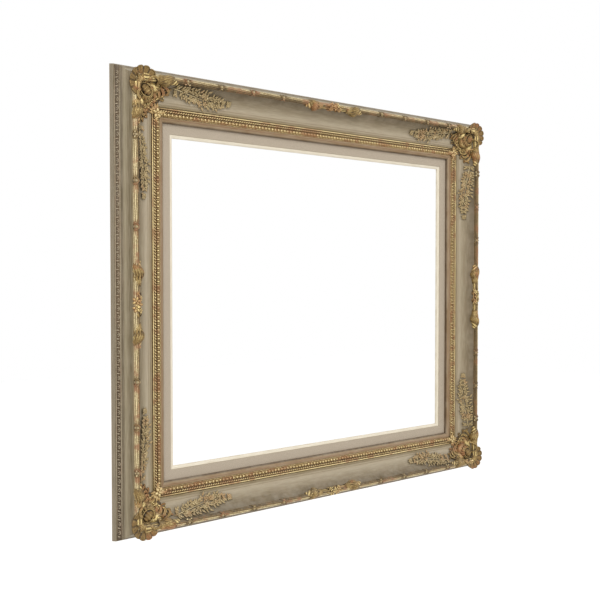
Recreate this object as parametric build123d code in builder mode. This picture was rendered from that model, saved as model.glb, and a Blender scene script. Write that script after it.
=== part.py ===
from build123d import *
import math
import os

# An ornate gilded picture frame, landscape, as it hangs. +X runs right, +Z up, and the front faces -Y.
# The origin is the middle of the wall plane, where the four bumpers touch the wall. Millimetres.

# Picture that the frame holds, and how much shows of each stick round it
picture_width = 600
picture_height = 500
picture_play = 1
slip_width = 5
liner_show = 14.7
moulding_width = 77.8
wall_gap = 5

# Moulding section: insets from the outer back edge, heights above the frame's back
strip_height = 9
strip_lean = 1.4
relief_step = 1.6
relief_height = 12
relief_lean = 3.2
relief_lip = 0.7
relief_lip_height = 1.2
cove_sag = 2.2
ridge_inset = 19
ridge_height = 41
ridge_radius = 3.6
cove_meet_angle = 200
scoop_meet_angle = -25
scoop_end_inset = 55.5
scoop_end_height = 20.4
scoop_sag = 5
groove_depth = 2
groove_width = 1.1
seat_width = 14
sight_step = 1
sight_flat = 1.8
sight_sag = 0.7
sight_height = 15.4
lip_height = 12
rebate_lip = 6.8

# Strips of pressed ornament, one on the side band and one in the seat beside the groove
relief_thickness = 0.9
relief_margin = 0.6
strip_base = 1
rope_radius = 1.8
rope_inset = 4.6
pearl_radius = 2.9
pearl_inset = 10.3
strip_margin = 0.3

# Ribbon ties that band the reeded ridge
tie_width = 3.2
tie_proud = 0.7
tie_first = 110
tie_end_gap = 16
rail_tie_count = 4
stile_tie_count = 3

# Liner and slip inside the moulding
liner_play = 0.6
liner_back = 2
liner_flat = 7.6
liner_fall = 1.2
picture_seat = 5.2
slip_edge = 3.2
slip_crown = 5
slip_sag = 0.5

# Corner ornament, measured from the moulding's outer corner
shell_centre = 30
shell_reach = 24
shell_crown_reach = 13
shell_crown_height = 46
shell_edge_height = 49.5
shell_edge_bevel = 10
shell_root_height = 42
shell_underside = 28
shell_spread = 200
shell_lobe_count = 7
shell_groove_radius = 1.5
shell_notch_radius = 2.4
dome_centre = 38
dome_radius = 17
dome_foot = 18
dome_wall = 27
dome_height = 37
dome_sag = 3
boss_length = 19
boss_width = 15
boss_height = 38
palm_root = 8
palm_reach = 27
palm_spread = 130
palm_rib_count = 7
palm_root_radius = 2.2
palm_tip_radius = 3.4
palm_root_height = 33.5
palm_tip_height = 23.6
scroll_inset = 27
scroll_station = 61
scroll_radius = 6.6
scroll_tube = 2.7
scroll_height = 31
scroll_open_angle = 120
scroll_sweep = 285
scroll_eye_radius = 4.2
sheath_offset = 1.5
sheath_sag = 0.9
sheath_start = 30
sheath_neck = 58
sheath_flare = 70
sheath_end = 88
sheath_root_radius = 8
sheath_neck_radius = 5.8
sheath_flare_radius = 8.6
sheath_tip_radius = 4.8

# Centre ornament, two facing sheaths on the ridge with a knot of bosses between
centre_gap = 13
centre_neck = 30
centre_flare = 48
centre_half_length = 62
centre_root_radius = 5.6
centre_neck_radius = 5.2
knot_boss_radius = 5.5
knot_boss_pitch = 9.5
knot_boss_rise = 2
knot_boss_count = 3
knot_shell_radius = 7
knot_shell_inset = 25
knot_shell_height = 34

# Flower sprays on the scoop
spray_start = 84
spray_end = 193
spray_inset = 38
spray_bow = 6
spray_stem_radius = 1.8
spray_stem_rise = 0.6
leaf_count = 10
leaf_length = 19
leaf_width = 7
leaf_shrink_share = 0.42
leaf_angle = 40
leaf_thickness = 3
leaf_sink = 2
leaf_taper = 24
flower_share = 0.28
flower_radius = 3.6
petal_radius = 2.7
petal_count = 5
berry_radius = 2.4
berry_offset = 4
berry_shares = (0.14, 0.5, 0.72, 1)
berry_side_shares = (1, -1, 1, 0)

# Corner wedges and liner brads
wedge_insets = (26, 50)
wedge_leg = 7
wedge_thickness = 0.8
wedge_height = 7
brad_radius = 0.6
brad_length = 14
brad_grip = 7
brad_share = 0.6

# Strap hangers with swinging rings
hanger_drop = 165
strap_start = 12
strap_length = 36
strap_width = 12
strap_thickness = 1
strap_round = 4
ring_wire_radius = 1.1
ring_clear = 0.1
ring_half_width = 9
ring_reach = 15
hanger_screw_margin = 7
hanger_screw_pitch = 14
screw_radius = 1.5
screw_head_radius = 3
screw_head_height = 1.5
screw_head_round = 0.6
screw_depth = 9
screw_slot_width = 0.8
screw_slot_depth = 0.7

# Turn buttons that hold the picture in
button_pivot_inset = 62
button_head_radius = 7
button_tip_radius = 4.5
button_reach = 34
button_thickness = 1.5
button_clear = 0.1
button_bore_clear = 0.2
stile_button_offset = 60
rail_button_offset = 90

# Bumpers
bumper_radius = 6
bumper_inset = 30
bumper_station = 70
bumper_chamfer = 1

# Every cut runs past its face by this much
overrun = 5

# Derived sizes
opening_width = picture_width + 2 * (picture_play - slip_width)
opening_height = picture_height + 2 * (picture_play - slip_width)
member_width = moulding_width + liner_show + slip_width
overall_width = opening_width + 2 * member_width
overall_height = opening_height + 2 * member_width
half_width = overall_width / 2
half_height = overall_height / 2
rebate_inset = moulding_width - rebate_lip
seat_inset = scoop_end_inset + groove_width
seat_height = scoop_end_height - groove_depth
seat_end = seat_inset + seat_width
slip_inset = moulding_width + liner_show
front = Vector(0, -1, 0)

# Each side: its start corner, the way it runs, the way inward, its length and its ribbon ties
top_left = Vector(-half_width, -wall_gap, half_height)
top_right = Vector(half_width, -wall_gap, half_height)
bottom_left = Vector(-half_width, -wall_gap, -half_height)
bottom_right = Vector(half_width, -wall_gap, -half_height)
sides = {
    "top": (top_right, Vector(-1, 0, 0), Vector(0, 0, -1), overall_width, rail_tie_count),
    "bottom": (bottom_left, Vector(1, 0, 0), Vector(0, 0, 1), overall_width, rail_tie_count),
    "left": (top_left, Vector(0, 0, -1), Vector(1, 0, 0), overall_height, stile_tie_count),
    "right": (bottom_right, Vector(0, 0, 1), Vector(-1, 0, 0), overall_height, stile_tie_count),
}
rail_names = {"top": "top_rail", "bottom": "bottom_rail", "left": "left_stile", "right": "right_stile"}

# The same corner seen in its own frame: X down the stile, Y along the rail, Z to the front
corner_plane = Plane(top_left, x_dir=(0, 0, -1), z_dir=front)


def station(side, along, inset, height):
    """Point on a side, along its run from the middle, inward from its edge and out from its back."""
    start, run, inward, length, _ = sides[side]
    return start + run * (length / 2 + along) + inward * inset + front * height


def side_plane(side):
    """Front-facing plane at the middle of a side: X along its run, Y inward."""
    _, run, _, _, _ = sides[side]
    return Plane(station(side, 0, 0, 0), x_dir=run, z_dir=front)


def mitred_stick(side, section):
    """A length of a section along one side, cut at both mitres."""
    start, run, inward, length, _ = sides[side]
    with BuildPart() as stick:
        with BuildSketch(Plane(start, x_dir=inward, z_dir=run)):
            add(section)
        extrude(amount=length)
        split(bisect_by=Plane(start, z_dir=run - inward))
        split(bisect_by=Plane(start + run * length, z_dir=-run - inward))
    return stick.part


def radial_plane(centre, angle):
    """Upright plane through a point on the corner's diagonal: X outward at the angle, Y to the front."""
    turn = math.radians(angle)
    x_way = (math.cos(turn), math.sin(turn), 0)
    return Plane((centre, centre, 0), x_dir=x_way, z_dir=(math.sin(turn), -math.cos(turn), 0))


def fan_angles(middle, spread, count):
    """Evenly spaced angles over a spread, half a step in from either end."""
    return [middle + spread * ((i + 0.5) / count - 0.5) for i in range(count)]


def keep(piece, name):
    """Labels a finished piece and writes its file."""
    piece.label = name
    export_step(piece, f"parts/{name}.step")


os.makedirs("parts", exist_ok=True)

# Moulding section, from the back corner round the side, the cove, the ridge, the scoop and the lip
relief_foot = Vector(strip_lean + relief_step, strip_height)
relief_head = relief_foot + Vector(relief_lean, relief_height)
with BuildSketch() as moulding_section:
    with BuildLine():
        side_line = Polyline(
            (0, 0),
            (strip_lean, strip_height),
            relief_foot,
            relief_head,
            relief_head + Vector(-relief_lip, 0),
            relief_head + Vector(0, relief_lip_height),
        )
        ridge_arc = CenterArc(
            (ridge_inset, ridge_height), ridge_radius, cove_meet_angle, scoop_meet_angle - cove_meet_angle
        )
        SagittaArc(side_line @ 1, ridge_arc @ 0, -cove_sag)
        scoop_arc = SagittaArc(ridge_arc @ 1, (scoop_end_inset, scoop_end_height), -scoop_sag)
        seat_line = Polyline(
            scoop_arc @ 1,
            (scoop_end_inset, seat_height),
            (seat_end, seat_height),
            (seat_end, seat_height + sight_step),
            (seat_end + sight_flat, seat_height + sight_step),
        )
        sight_arc = SagittaArc(seat_line @ 1, (moulding_width, sight_height), sight_sag)
        Polyline(
            sight_arc @ 1,
            (moulding_width, lip_height),
            (rebate_inset, lip_height),
            (rebate_inset, 0),
            (0, 0),
        )
    make_face()
scoop_centre = scoop_arc.arc_center
scoop_radius = scoop_arc.radius

# Pressed strip of small arches on the side band, as thick all over as its ground
relief_way = (relief_head - relief_foot).normalized()
relief_out = Vector(-relief_way.Y, relief_way.X) * relief_thickness
relief_low = relief_foot + relief_way * relief_margin
relief_high = relief_head - relief_way * relief_margin
with BuildSketch() as relief_section:
    with BuildLine():
        Polyline(relief_low, relief_high, relief_high + relief_out, relief_low + relief_out, relief_low)
    make_face()

# Rope and pearl strip, two half rounds on a thin base
strip_top = seat_height + strip_base
rope_middle = seat_inset + rope_inset
pearl_middle = seat_inset + pearl_inset
with BuildSketch() as bead_section:
    with BuildLine():
        Line((seat_inset, seat_height), (seat_inset, strip_top))
        Line((seat_inset, strip_top), (rope_middle - rope_radius, strip_top))
        CenterArc((rope_middle, strip_top), rope_radius, 0, 180)
        Line((rope_middle + rope_radius, strip_top), (pearl_middle - pearl_radius, strip_top))
        CenterArc((pearl_middle, strip_top), pearl_radius, 0, 180)
        Polyline(
            (pearl_middle + pearl_radius, strip_top),
            (seat_end - strip_margin, strip_top),
            (seat_end - strip_margin, seat_height),
            (seat_inset, seat_height),
        )
    make_face()

# Liner, a flat stick that lies against the back of the lip and falls a little to the slip
with BuildSketch() as liner_section:
    with BuildLine():
        Polyline(
            (rebate_inset + liner_play, liner_back),
            (rebate_inset + liner_play, lip_height),
            (rebate_inset + liner_flat, lip_height),
            (slip_inset, lip_height - liner_fall),
            (slip_inset, liner_back),
            (rebate_inset + liner_play, liner_back),
        )
    make_face()

# Slip, the narrow inner stick whose back holds the picture's edge
with BuildSketch() as slip_section:
    with BuildLine():
        slip_front = SagittaArc(
            (slip_inset, picture_seat + slip_crown),
            (slip_inset + slip_width, picture_seat + slip_edge),
            slip_sag,
        )
        Polyline(
            slip_front @ 1,
            (slip_inset + slip_width, picture_seat),
            (slip_inset, picture_seat),
            slip_front @ 0,
        )
    make_face()

# Corner wedges: small steel angles driven into the back across each mitre
with BuildPart() as corner_wedges:
    with BuildSketch(corner_plane):
        with Locations(*[(inset, inset) for inset in wedge_insets]):
            Rectangle(wedge_leg, wedge_thickness, align=(Align.MIN, Align.MIN))
            Rectangle(wedge_thickness, wedge_leg, align=(Align.MIN, Align.MIN))
    extrude(amount=wedge_height)
    mirror(about=Plane.YZ)
    mirror(about=Plane.XY)
keep(corner_wedges.part, "corner_wedges")

# Liner brads: driven into the rebate's wall, flat against the liner's back
with BuildPart() as liner_brads:
    for side, (_, _, inward, length, _) in sides.items():
        for way in (-1, 1):
            brad_along = way * brad_share * (length / 2 - rebate_inset)
            brad_inset = rebate_inset + brad_grip - brad_length
            brad_start = station(side, brad_along, brad_inset, liner_back - brad_radius)
            with BuildSketch(Plane(brad_start, z_dir=inward)):
                Circle(brad_radius)
            extrude(amount=brad_length)
keep(liner_brads.part, "liner_brads")


def screw(place, seat):
    """A slotted pan head screw whose head sits this far above the wood."""
    with BuildPart() as fastener:
        with BuildSketch(place.offset(-screw_depth)):
            Circle(screw_radius)
        extrude(amount=screw_depth + seat)
        with BuildSketch(place.offset(seat)):
            Circle(screw_head_radius)
        extrude(amount=screw_head_height)
        fillet(fastener.faces().sort_by(Axis.Y)[-1].edges(), screw_head_round)
        with BuildSketch(place.offset(seat + screw_head_height - screw_slot_depth)):
            Rectangle(screw_head_radius * 2 + overrun, screw_slot_width)
        extrude(amount=screw_slot_depth + overrun, mode=Mode.SUBTRACT)
    return fastener.part


def back_plane(side, along, inset):
    """Plane on the back of a side, facing the wall: X inward."""
    return Plane(station(side, along, inset, 0), x_dir=sides[side][2], z_dir=-front)


# Strap hangers, one on each stile, their loops towards the opening
hanger_height = half_height - hanger_drop
strap_end = strap_start + strap_length
loop_inner = ring_wire_radius + ring_clear
loop_outer = loop_inner + strap_thickness
strap_screws = [strap_start + hanger_screw_margin + hanger_screw_pitch * i for i in range(2)]
hanger_along = {"left": -hanger_height, "right": hanger_height}
with BuildPart() as hanger_screws:
    for side, along in hanger_along.items():
        for inset in strap_screws:
            add(screw(back_plane(side, along, inset), strap_thickness))
keep(hanger_screws.part, "hanger_screws")

for side, along in hanger_along.items():
    inward = sides[side][2]
    strap_foot = station(side, along, 0, 0)
    with BuildPart() as hanger_strap:
        with BuildSketch(Plane(strap_foot, x_dir=inward, z_dir=inward.cross(-front))):
            with Locations((strap_start, 0)):
                Rectangle(strap_length, strap_thickness, align=(Align.MIN, Align.MIN))
            with Locations((strap_end, loop_outer)):
                Circle(loop_outer)
                Circle(loop_inner, mode=Mode.SUBTRACT)
        extrude(amount=strap_width / 2, both=True)
        outer_end = hanger_strap.faces().sort_by(Axis(strap_foot, inward))[0]
        fillet(outer_end.edges().filter_by(Axis.Y), strap_round)
        add(hanger_screws.part, mode=Mode.SUBTRACT)
    keep(hanger_strap.part, f"hanger_strap_{side}")

    # The ring: a straight bar in the strap's loop, closed by a bow
    bar_middle = strap_foot + inward * strap_end - front * loop_outer
    with BuildPart() as hanger_ring:
        with BuildLine(Plane(bar_middle, x_dir=inward, z_dir=front)):
            bow = ThreePointArc((0, ring_half_width), (ring_reach, 0), (0, -ring_half_width))
        with BuildSketch(Plane(bow @ 0, z_dir=bow % 0)):
            Circle(ring_wire_radius)
        sweep(path=bow)
        with BuildSketch(Plane(bow @ 1, z_dir=(bow @ 0) - (bow @ 1))):
            Circle(ring_wire_radius)
        extrude(amount=2 * ring_half_width)
        with Locations(bow @ 0, bow @ 1):
            Sphere(ring_wire_radius)
    keep(hanger_ring.part, f"hanger_ring_{side}")

# Turn buttons: one to a side, stored along its rail so that the picture can go in
button_along = {
    "top": rail_button_offset,
    "bottom": rail_button_offset,
    "left": stile_button_offset,
    "right": -stile_button_offset,
}
button_way = {"top": 1, "bottom": 1, "left": 1, "right": -1}
button_seat = button_clear + button_thickness + button_clear
with BuildPart() as button_screws:
    for side, along in button_along.items():
        add(screw(back_plane(side, along, button_pivot_inset), button_seat))
keep(button_screws.part, "turn_button_screws")

for side, along in button_along.items():
    place = Plane(
        station(side, along, button_pivot_inset, -button_clear),
        x_dir=sides[side][1] * button_way[side],
        z_dir=-front,
    )
    with BuildPart() as turn_button:
        with BuildSketch(place):
            Circle(button_head_radius)
            with Locations((button_reach - button_tip_radius, 0)):
                Circle(button_tip_radius)
            make_hull()
            Circle(screw_radius + button_bore_clear, mode=Mode.SUBTRACT)
        extrude(amount=button_thickness)
    keep(turn_button.part, f"turn_button_{side}")

# Bumpers that hold the frame off the wall
with BuildPart() as wall_bumpers:
    for way in (-1, 1):
        for side in ("top", "bottom"):
            with BuildSketch(back_plane(side, way * (half_width - bumper_station), bumper_inset)):
                Circle(bumper_radius)
            extrude(amount=wall_gap)
    chamfer(wall_bumpers.faces().group_by(Axis.Y)[-1].edges(), bumper_chamfer)
keep(wall_bumpers.part, "wall_bumpers")

# The four mitred sticks of the moulding, with their ribbon ties and the holes for wedges, brads and screws
rails = {}
for side, (_, run, _, length, tie_count) in sides.items():
    tie_last = length / 2 - sheath_end - tie_end_gap
    tie_places = [tie_first + (tie_last - tie_first) * i / (tie_count - 1) for i in range(tie_count)]
    with BuildPart() as rail:
        add(mitred_stick(side, moulding_section.sketch))
        for along in tie_places + [-place for place in tie_places]:
            with BuildSketch(Plane(station(side, along, ridge_inset, ridge_height), z_dir=run)):
                Circle(ridge_radius + tie_proud)
            extrude(amount=tie_width / 2, both=True)
        for fastening in (corner_wedges, liner_brads, hanger_screws, button_screws):
            add(fastening.part, mode=Mode.SUBTRACT)
    rails[side] = rail.part
    keep(rail.part, rail_names[side])
    keep(mitred_stick(side, relief_section.sketch), f"side_relief_{side}")
    keep(mitred_stick(side, bead_section.sketch), f"bead_strip_{side}")
    keep(mitred_stick(side, liner_section.sketch), f"liner_{side}")
    keep(mitred_stick(side, slip_section.sketch), f"slip_{side}")

# Corner ornament in the corner's own frame: a shell over the corner, a boss, a palmette and scrolls
diagonal = Plane((0, 0, 0), z_dir=(1, -1, 0))
outward_angle = 225
inward_angle = 45
lobe_angles = fan_angles(outward_angle, shell_spread, shell_lobe_count)
groove_angles = [(low + high) / 2 for low, high in zip(lobe_angles, lobe_angles[1:])]
shell_edge = (shell_reach, shell_edge_height)
shell_crown = (shell_crown_reach, shell_crown_height)
shell_root = (0, shell_root_height)
notches = [radial_plane(shell_centre, angle).from_local_coords(shell_edge) for angle in groove_angles]
scroll_place = Plane((scroll_station, scroll_inset, scroll_height))

# A sheath's axis runs along the ridge, a little inward of it, so that the leaf hangs over the scoop
sheath_line = Plane(
    (0, ridge_inset + sheath_offset, ridge_height - sheath_offset), x_dir=(1, 0, 0), z_dir=(0, -1, 0)
)


def leaf_sheath(start, neck, flare, end, root_radius, neck_radius):
    """A leaf that clasps the ridge: narrow at its neck, swelling to its flare, closing to its tip."""
    with BuildPart() as sheath:
        with BuildSketch(sheath_line):
            with BuildLine():
                root_arc = SagittaArc((start, root_radius), (neck, neck_radius), sheath_sag)
                tip_arc = ThreePointArc(root_arc @ 1, (flare, sheath_flare_radius), (end, sheath_tip_radius))
                Polyline(tip_arc @ 1, (end, 0), (start, 0), root_arc @ 0)
            make_face()
        revolve(axis=Axis(sheath_line.origin, sheath_line.x_dir))
    return sheath.part


# One wing of the corner ornament: a C scroll beside a leaf sheath that wraps the ridge
with BuildPart() as corner_wing:
    add(
        leaf_sheath(
            sheath_start, sheath_neck, sheath_flare, sheath_end, sheath_root_radius, sheath_neck_radius
        )
    )
    with BuildLine(scroll_place):
        scroll = CenterArc((0, 0), scroll_radius, scroll_open_angle, scroll_sweep)
    with BuildSketch(Plane(scroll @ 0, z_dir=scroll % 0)):
        Circle(scroll_tube)
    sweep(path=scroll)
    with Locations(scroll @ 0, scroll @ 1):
        Sphere(scroll_tube)
    with Locations(scroll_place):
        Sphere(scroll_eye_radius)

with BuildPart() as corner_motif:
    # The shell's dished top, then the grooves between its lobes and the scallops at its edge
    with BuildSketch(radial_plane(shell_centre, outward_angle - shell_spread / 2)):
        with BuildLine():
            ThreePointArc(shell_edge, shell_crown, shell_root)
            Polyline(
                shell_root,
                (0, shell_underside),
                (shell_reach - shell_edge_bevel, shell_underside),
                shell_edge,
            )
        make_face()
    revolve(axis=Axis((shell_centre, shell_centre, 0), (0, 0, 1)), revolution_arc=shell_spread)
    for angle in groove_angles:
        with BuildLine(radial_plane(shell_centre, angle)):
            groove = ThreePointArc(shell_edge, shell_crown, shell_root)
        with BuildSketch(Plane(groove @ 0, z_dir=groove % 0)):
            Circle(shell_groove_radius)
        sweep(path=groove, mode=Mode.SUBTRACT)
    with Locations(*notches):
        Cylinder(shell_notch_radius, 2 * shell_edge_height, mode=Mode.SUBTRACT)

    # The dome under the boss, and the boss, an ellipsoid along the diagonal
    with BuildSketch(radial_plane(dome_centre, inward_angle)):
        with BuildLine():
            SagittaArc((dome_radius, dome_wall), (0, dome_height), dome_sag)
            Polyline((0, dome_height), (0, dome_foot), (dome_radius, dome_foot), (dome_radius, dome_wall))
        make_face()
    revolve(axis=Axis((dome_centre, dome_centre, 0), (0, 0, 1)))
    boss_plane = Plane((dome_centre, dome_centre, boss_height), x_dir=(1, 1, 0), z_dir=(0, 0, 1))
    with BuildSketch(boss_plane):
        Ellipse(boss_length / 2, boss_width / 2)
        with Locations((0, -boss_length / 2)):
            Rectangle(boss_length, boss_length, mode=Mode.SUBTRACT)
    revolve(axis=Axis(boss_plane.origin, boss_plane.x_dir))

    # Palmette ribs that fan down the scoop to the inner corner
    for angle in fan_angles(inward_angle, palm_spread, palm_rib_count):
        rib = radial_plane(dome_centre, angle)
        root = rib.from_local_coords((palm_root, palm_root_height))
        tip = rib.from_local_coords((palm_reach - palm_tip_radius, palm_tip_height))
        with BuildSketch(Plane(root, z_dir=tip - root)):
            Circle(palm_root_radius)
        with BuildSketch(Plane(tip, z_dir=tip - root)):
            Circle(palm_tip_radius)
        loft()
        with Locations(tip):
            Sphere(palm_tip_radius)

    # Both wings
    add(corner_wing.part)
    add(mirror(corner_wing.part, about=diagonal, mode=Mode.PRIVATE))

# Centre ornament in a side's own frame: two facing sheaths on the ridge, a knot of bosses and a shell
with BuildPart() as centre_motif:
    add(
        leaf_sheath(
            centre_gap, centre_neck, centre_flare, centre_half_length, centre_root_radius, centre_neck_radius
        )
    )
    mirror(about=Plane.YZ)
    with Locations((0, ridge_inset, ridge_height + knot_boss_rise)):
        with GridLocations(knot_boss_pitch, 0, knot_boss_count, 1):
            Sphere(knot_boss_radius)
    with Locations((0, knot_shell_inset, knot_shell_height)):
        Sphere(knot_shell_radius)

# Flower spray on the scoop beside a corner, on a plane that touches the scoop along the spray's middle
scoop_fall = math.sqrt(scoop_radius**2 - (spray_inset - scoop_centre.X) ** 2)
scoop_point = Vector(0, spray_inset, scoop_centre.Y - scoop_fall)
scoop_normal = Vector(0, scoop_centre.X, scoop_centre.Y) - scoop_point
spray_plane = Plane(scoop_point, x_dir=(1, 0, 0), z_dir=scoop_normal)
spray_length = spray_end - spray_start
with BuildPart() as spray_motif:
    with BuildLine(spray_plane.offset(spray_stem_rise)):
        stem = ThreePointArc(
            (spray_start, -spray_bow / 2),
            (spray_start + spray_length / 2, spray_bow / 2),
            (spray_end, -spray_bow / 2),
        )
    with BuildSketch(Plane(stem @ 0, z_dir=stem % 0)):
        Circle(spray_stem_radius)
    sweep(path=stem)
    with Locations(stem @ 0):
        Sphere(spray_stem_radius)
    for i in range(leaf_count):
        share = (i + 0.5) / leaf_count
        size = 1 - leaf_shrink_share * share
        turn = leaf_angle * (-1) ** i
        leaf_root = Plane(stem @ share, x_dir=stem % share, z_dir=scoop_normal)
        leaf_plane = leaf_root.rotated((0, 0, turn)).offset(-leaf_sink)
        with BuildSketch(leaf_plane):
            with BuildLine():
                SagittaArc((0, 0), (leaf_length * size, 0), leaf_width * size / 2)
                SagittaArc((leaf_length * size, 0), (0, 0), leaf_width * size / 2)
            make_face()
        extrude(amount=leaf_sink + leaf_thickness * size, taper=leaf_taper)
    flower_place = Plane(stem @ flower_share, x_dir=stem % flower_share, z_dir=scoop_normal)
    with Locations(flower_place):
        Sphere(flower_radius)
        with PolarLocations(flower_radius, petal_count):
            Sphere(petal_radius)
    for share, side_share in zip(berry_shares, berry_side_shares):
        berry_place = Plane(stem @ share, x_dir=stem % share, z_dir=scoop_normal)
        with Locations(berry_place.from_local_coords((0, berry_offset * side_share))):
            Sphere(berry_radius)


def seated(motif, place, *carriers):
    """A motif set at its place, with its underside cut to the mouldings that carry it."""
    with BuildPart() as ornament:
        add(motif.moved(place.location))
        for carrier in carriers:
            add(carrier, mode=Mode.SUBTRACT)
    return ornament.part


def mirrored(piece, *planes):
    """The same ornament on the far side of the frame."""
    for plane in planes:
        piece = mirror(piece, about=plane, mode=Mode.PRIVATE)
    return piece


corner_top_left = seated(corner_motif.part, corner_plane, rails["left"], rails["top"])
corner_places = {
    "top_left": (),
    "top_right": (Plane.YZ,),
    "bottom_left": (Plane.XY,),
    "bottom_right": (Plane.YZ, Plane.XY),
}
for name, planes in corner_places.items():
    keep(mirrored(corner_top_left, *planes), f"corner_ornament_{name}")

centre_top = seated(centre_motif.part, side_plane("top"), rails["top"])
centre_left = seated(centre_motif.part, side_plane("left"), rails["left"])
keep(centre_top, "centre_ornament_top")
keep(mirrored(centre_top, Plane.XY), "centre_ornament_bottom")
keep(centre_left, "centre_ornament_left")
keep(mirrored(centre_left, Plane.YZ), "centre_ornament_right")

# Each corner has two sprays, one on the stile and its mirror image across the mitre on the rail
mitre = Plane(top_left, z_dir=(1, 0, 1))
spray_on_stile = seated(spray_motif.part, corner_plane, rails["left"])
spray_on_rail = mirror(spray_on_stile, about=mitre, mode=Mode.PRIVATE)
for name, planes in corner_places.items():
    keep(mirrored(spray_on_stile, *planes), f"spray_stile_{name}")
    keep(mirrored(spray_on_rail, *planes), f"spray_rail_{name}")
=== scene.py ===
# %% [markdown]
# An ornate gilded picture frame, landscape, empty, as it hangs on a wall. The real frame is four mitred
# sticks of moulding with cast ornament laid on top of them. The sticks, liners and fittings already come as
# solids at their true size, so this lesson loads them first, keeps them where they are, and spends its time
# on what a gilder and a carver add: relief, leaf, patina, linen and light.

# %% Load the fixed frame
import math
import random

import bmesh
import bpy
import numpy as np
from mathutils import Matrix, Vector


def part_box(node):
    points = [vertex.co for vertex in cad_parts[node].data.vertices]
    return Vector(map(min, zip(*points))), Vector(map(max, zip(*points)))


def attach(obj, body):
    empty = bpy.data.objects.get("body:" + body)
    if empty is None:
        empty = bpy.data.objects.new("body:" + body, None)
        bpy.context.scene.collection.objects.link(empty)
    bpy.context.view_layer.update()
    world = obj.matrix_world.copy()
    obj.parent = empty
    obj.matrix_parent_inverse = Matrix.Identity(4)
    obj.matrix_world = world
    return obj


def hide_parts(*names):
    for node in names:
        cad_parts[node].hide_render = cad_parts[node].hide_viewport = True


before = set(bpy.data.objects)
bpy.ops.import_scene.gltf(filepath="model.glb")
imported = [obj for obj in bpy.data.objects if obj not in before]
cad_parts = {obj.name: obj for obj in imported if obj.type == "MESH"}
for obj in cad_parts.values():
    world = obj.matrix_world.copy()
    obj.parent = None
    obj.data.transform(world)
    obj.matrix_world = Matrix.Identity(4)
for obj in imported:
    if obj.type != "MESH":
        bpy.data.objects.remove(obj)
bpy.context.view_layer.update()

print("pieces in the frame:", len(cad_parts))

# %% [markdown]
# All carving here is worked out in millimetres, in small frames of its own: along a side from its middle,
# inward from the outer edge, and out from the back. Three arrows turn such a point into the room's metres.
# Working in these terms keeps every ornament seated, because the moulding under it is measured in the same
# way.

# %% Where the four sides and corners are
MM = 0.001
FRONT = np.array([0.0, -1.0, 0.0])
RIGHT = np.array([1.0, 0.0, 0.0])
UP = np.array([0.0, 0.0, 1.0])

rail_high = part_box("top_rail")[1]
BACK = rail_high.y
HALF_WIDTH = rail_high.x / MM
HALF_HEIGHT = rail_high.z / MM


def corner_point(x_sign, z_sign):
    """Outer back corner of the moulding, in metres."""
    return np.array([x_sign * HALF_WIDTH * MM, BACK, z_sign * HALF_HEIGHT * MM])


# Each side: the middle of its outer back edge, its run, the way inward and half its length
SIDES = {
    "top": (corner_point(0, 1), -RIGHT, -UP, HALF_WIDTH),
    "bottom": (corner_point(0, -1), RIGHT, UP, HALF_WIDTH),
    "left": (corner_point(-1, 0), -UP, RIGHT, HALF_HEIGHT),
    "right": (corner_point(1, 0), UP, -RIGHT, HALF_HEIGHT),
}
# Each corner: its outer back corner, the way along its stile and the way along its rail
CORNERS = {
    "top_left": (corner_point(-1, 1), -UP, RIGHT),
    "top_right": (corner_point(1, 1), -UP, -RIGHT),
    "bottom_left": (corner_point(-1, -1), UP, RIGHT),
    "bottom_right": (corner_point(1, -1), UP, -RIGHT),
}
print("half width and height in mm:", round(HALF_WIDTH, 2), round(HALF_HEIGHT, 2))

# %% [markdown]
# The camera stands to the left of the frame at eye height and looks across it. Its place was found by
# fitting the frame's long straight edges. A product photograph like this hides the floor, so the backdrop
# here is white only to the camera and to reflections, while the light that falls on the frame stays plain
# and soft.

# %% Camera
CAMERA_PLACE = (-0.98186, -1.14126, 0.04048)
CAMERA_YAW = 39.653
CAMERA_PITCH = -1.584
CAMERA_LENS = 52.23
SENSOR_WIDTH = 36

camera = bpy.data.objects.new("camera", bpy.data.cameras.new("camera"))
camera.data.lens = CAMERA_LENS
camera.data.sensor_width = SENSOR_WIDTH
camera.location = CAMERA_PLACE
camera.rotation_euler = (math.radians(90 + CAMERA_PITCH), 0, math.radians(-CAMERA_YAW))
bpy.context.scene.collection.objects.link(camera)
bpy.context.scene.camera = camera
bpy.context.scene.view_settings.view_transform = "Standard"
print("camera lens in mm:", camera.data.lens)

# %% [markdown]
# A finish is a web of shader nodes. Every node and link made by hand takes a line or two, and a gilded
# surface needs dozens, so a few small tools come first: one makes a node, one feeds a socket, and the rest
# are the sums, ranges, blends and clouds that a finish is mixed from. With them a finish reads almost like
# a painter's recipe.


# %% Colours, sums and clouds
def paint(red, green, blue):
    """A colour given as on a paint card, 0 to 255, turned into the shader's linear light."""
    shares = (value / 255 for value in (red, green, blue))
    return tuple(s / 12.92 if s <= 0.04045 else ((s + 0.055) / 1.055) ** 2.4 for s in shares) + (1,)


def new_node(tree, kind, **settings):
    """A shader node of a kind, with its settings."""
    node = tree.nodes.new("ShaderNode" + kind)
    for key, value in settings.items():
        setattr(node, key, value)
    return node


def feed(tree, socket, value):
    """Joins a node's output to an input, or types a plain value into it."""
    if isinstance(value, bpy.types.NodeSocket):
        tree.links.new(value, socket)
    else:
        socket.default_value = value


def calc(tree, operation, *values, clamp=False):
    """A sum on values or sockets."""
    node = new_node(tree, "Math", operation=operation, use_clamp=clamp)
    for socket, value in zip(node.inputs, values):
        feed(tree, socket, value)
    return node.outputs[0]


def vector_calc(tree, operation, first, second):
    """A vector sum. Its second output is the plain number, for a dot product."""
    node = new_node(tree, "VectorMath", operation=operation)
    feed(tree, node.inputs[0], first)
    feed(tree, node.inputs[1], second)
    return node.outputs


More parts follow.
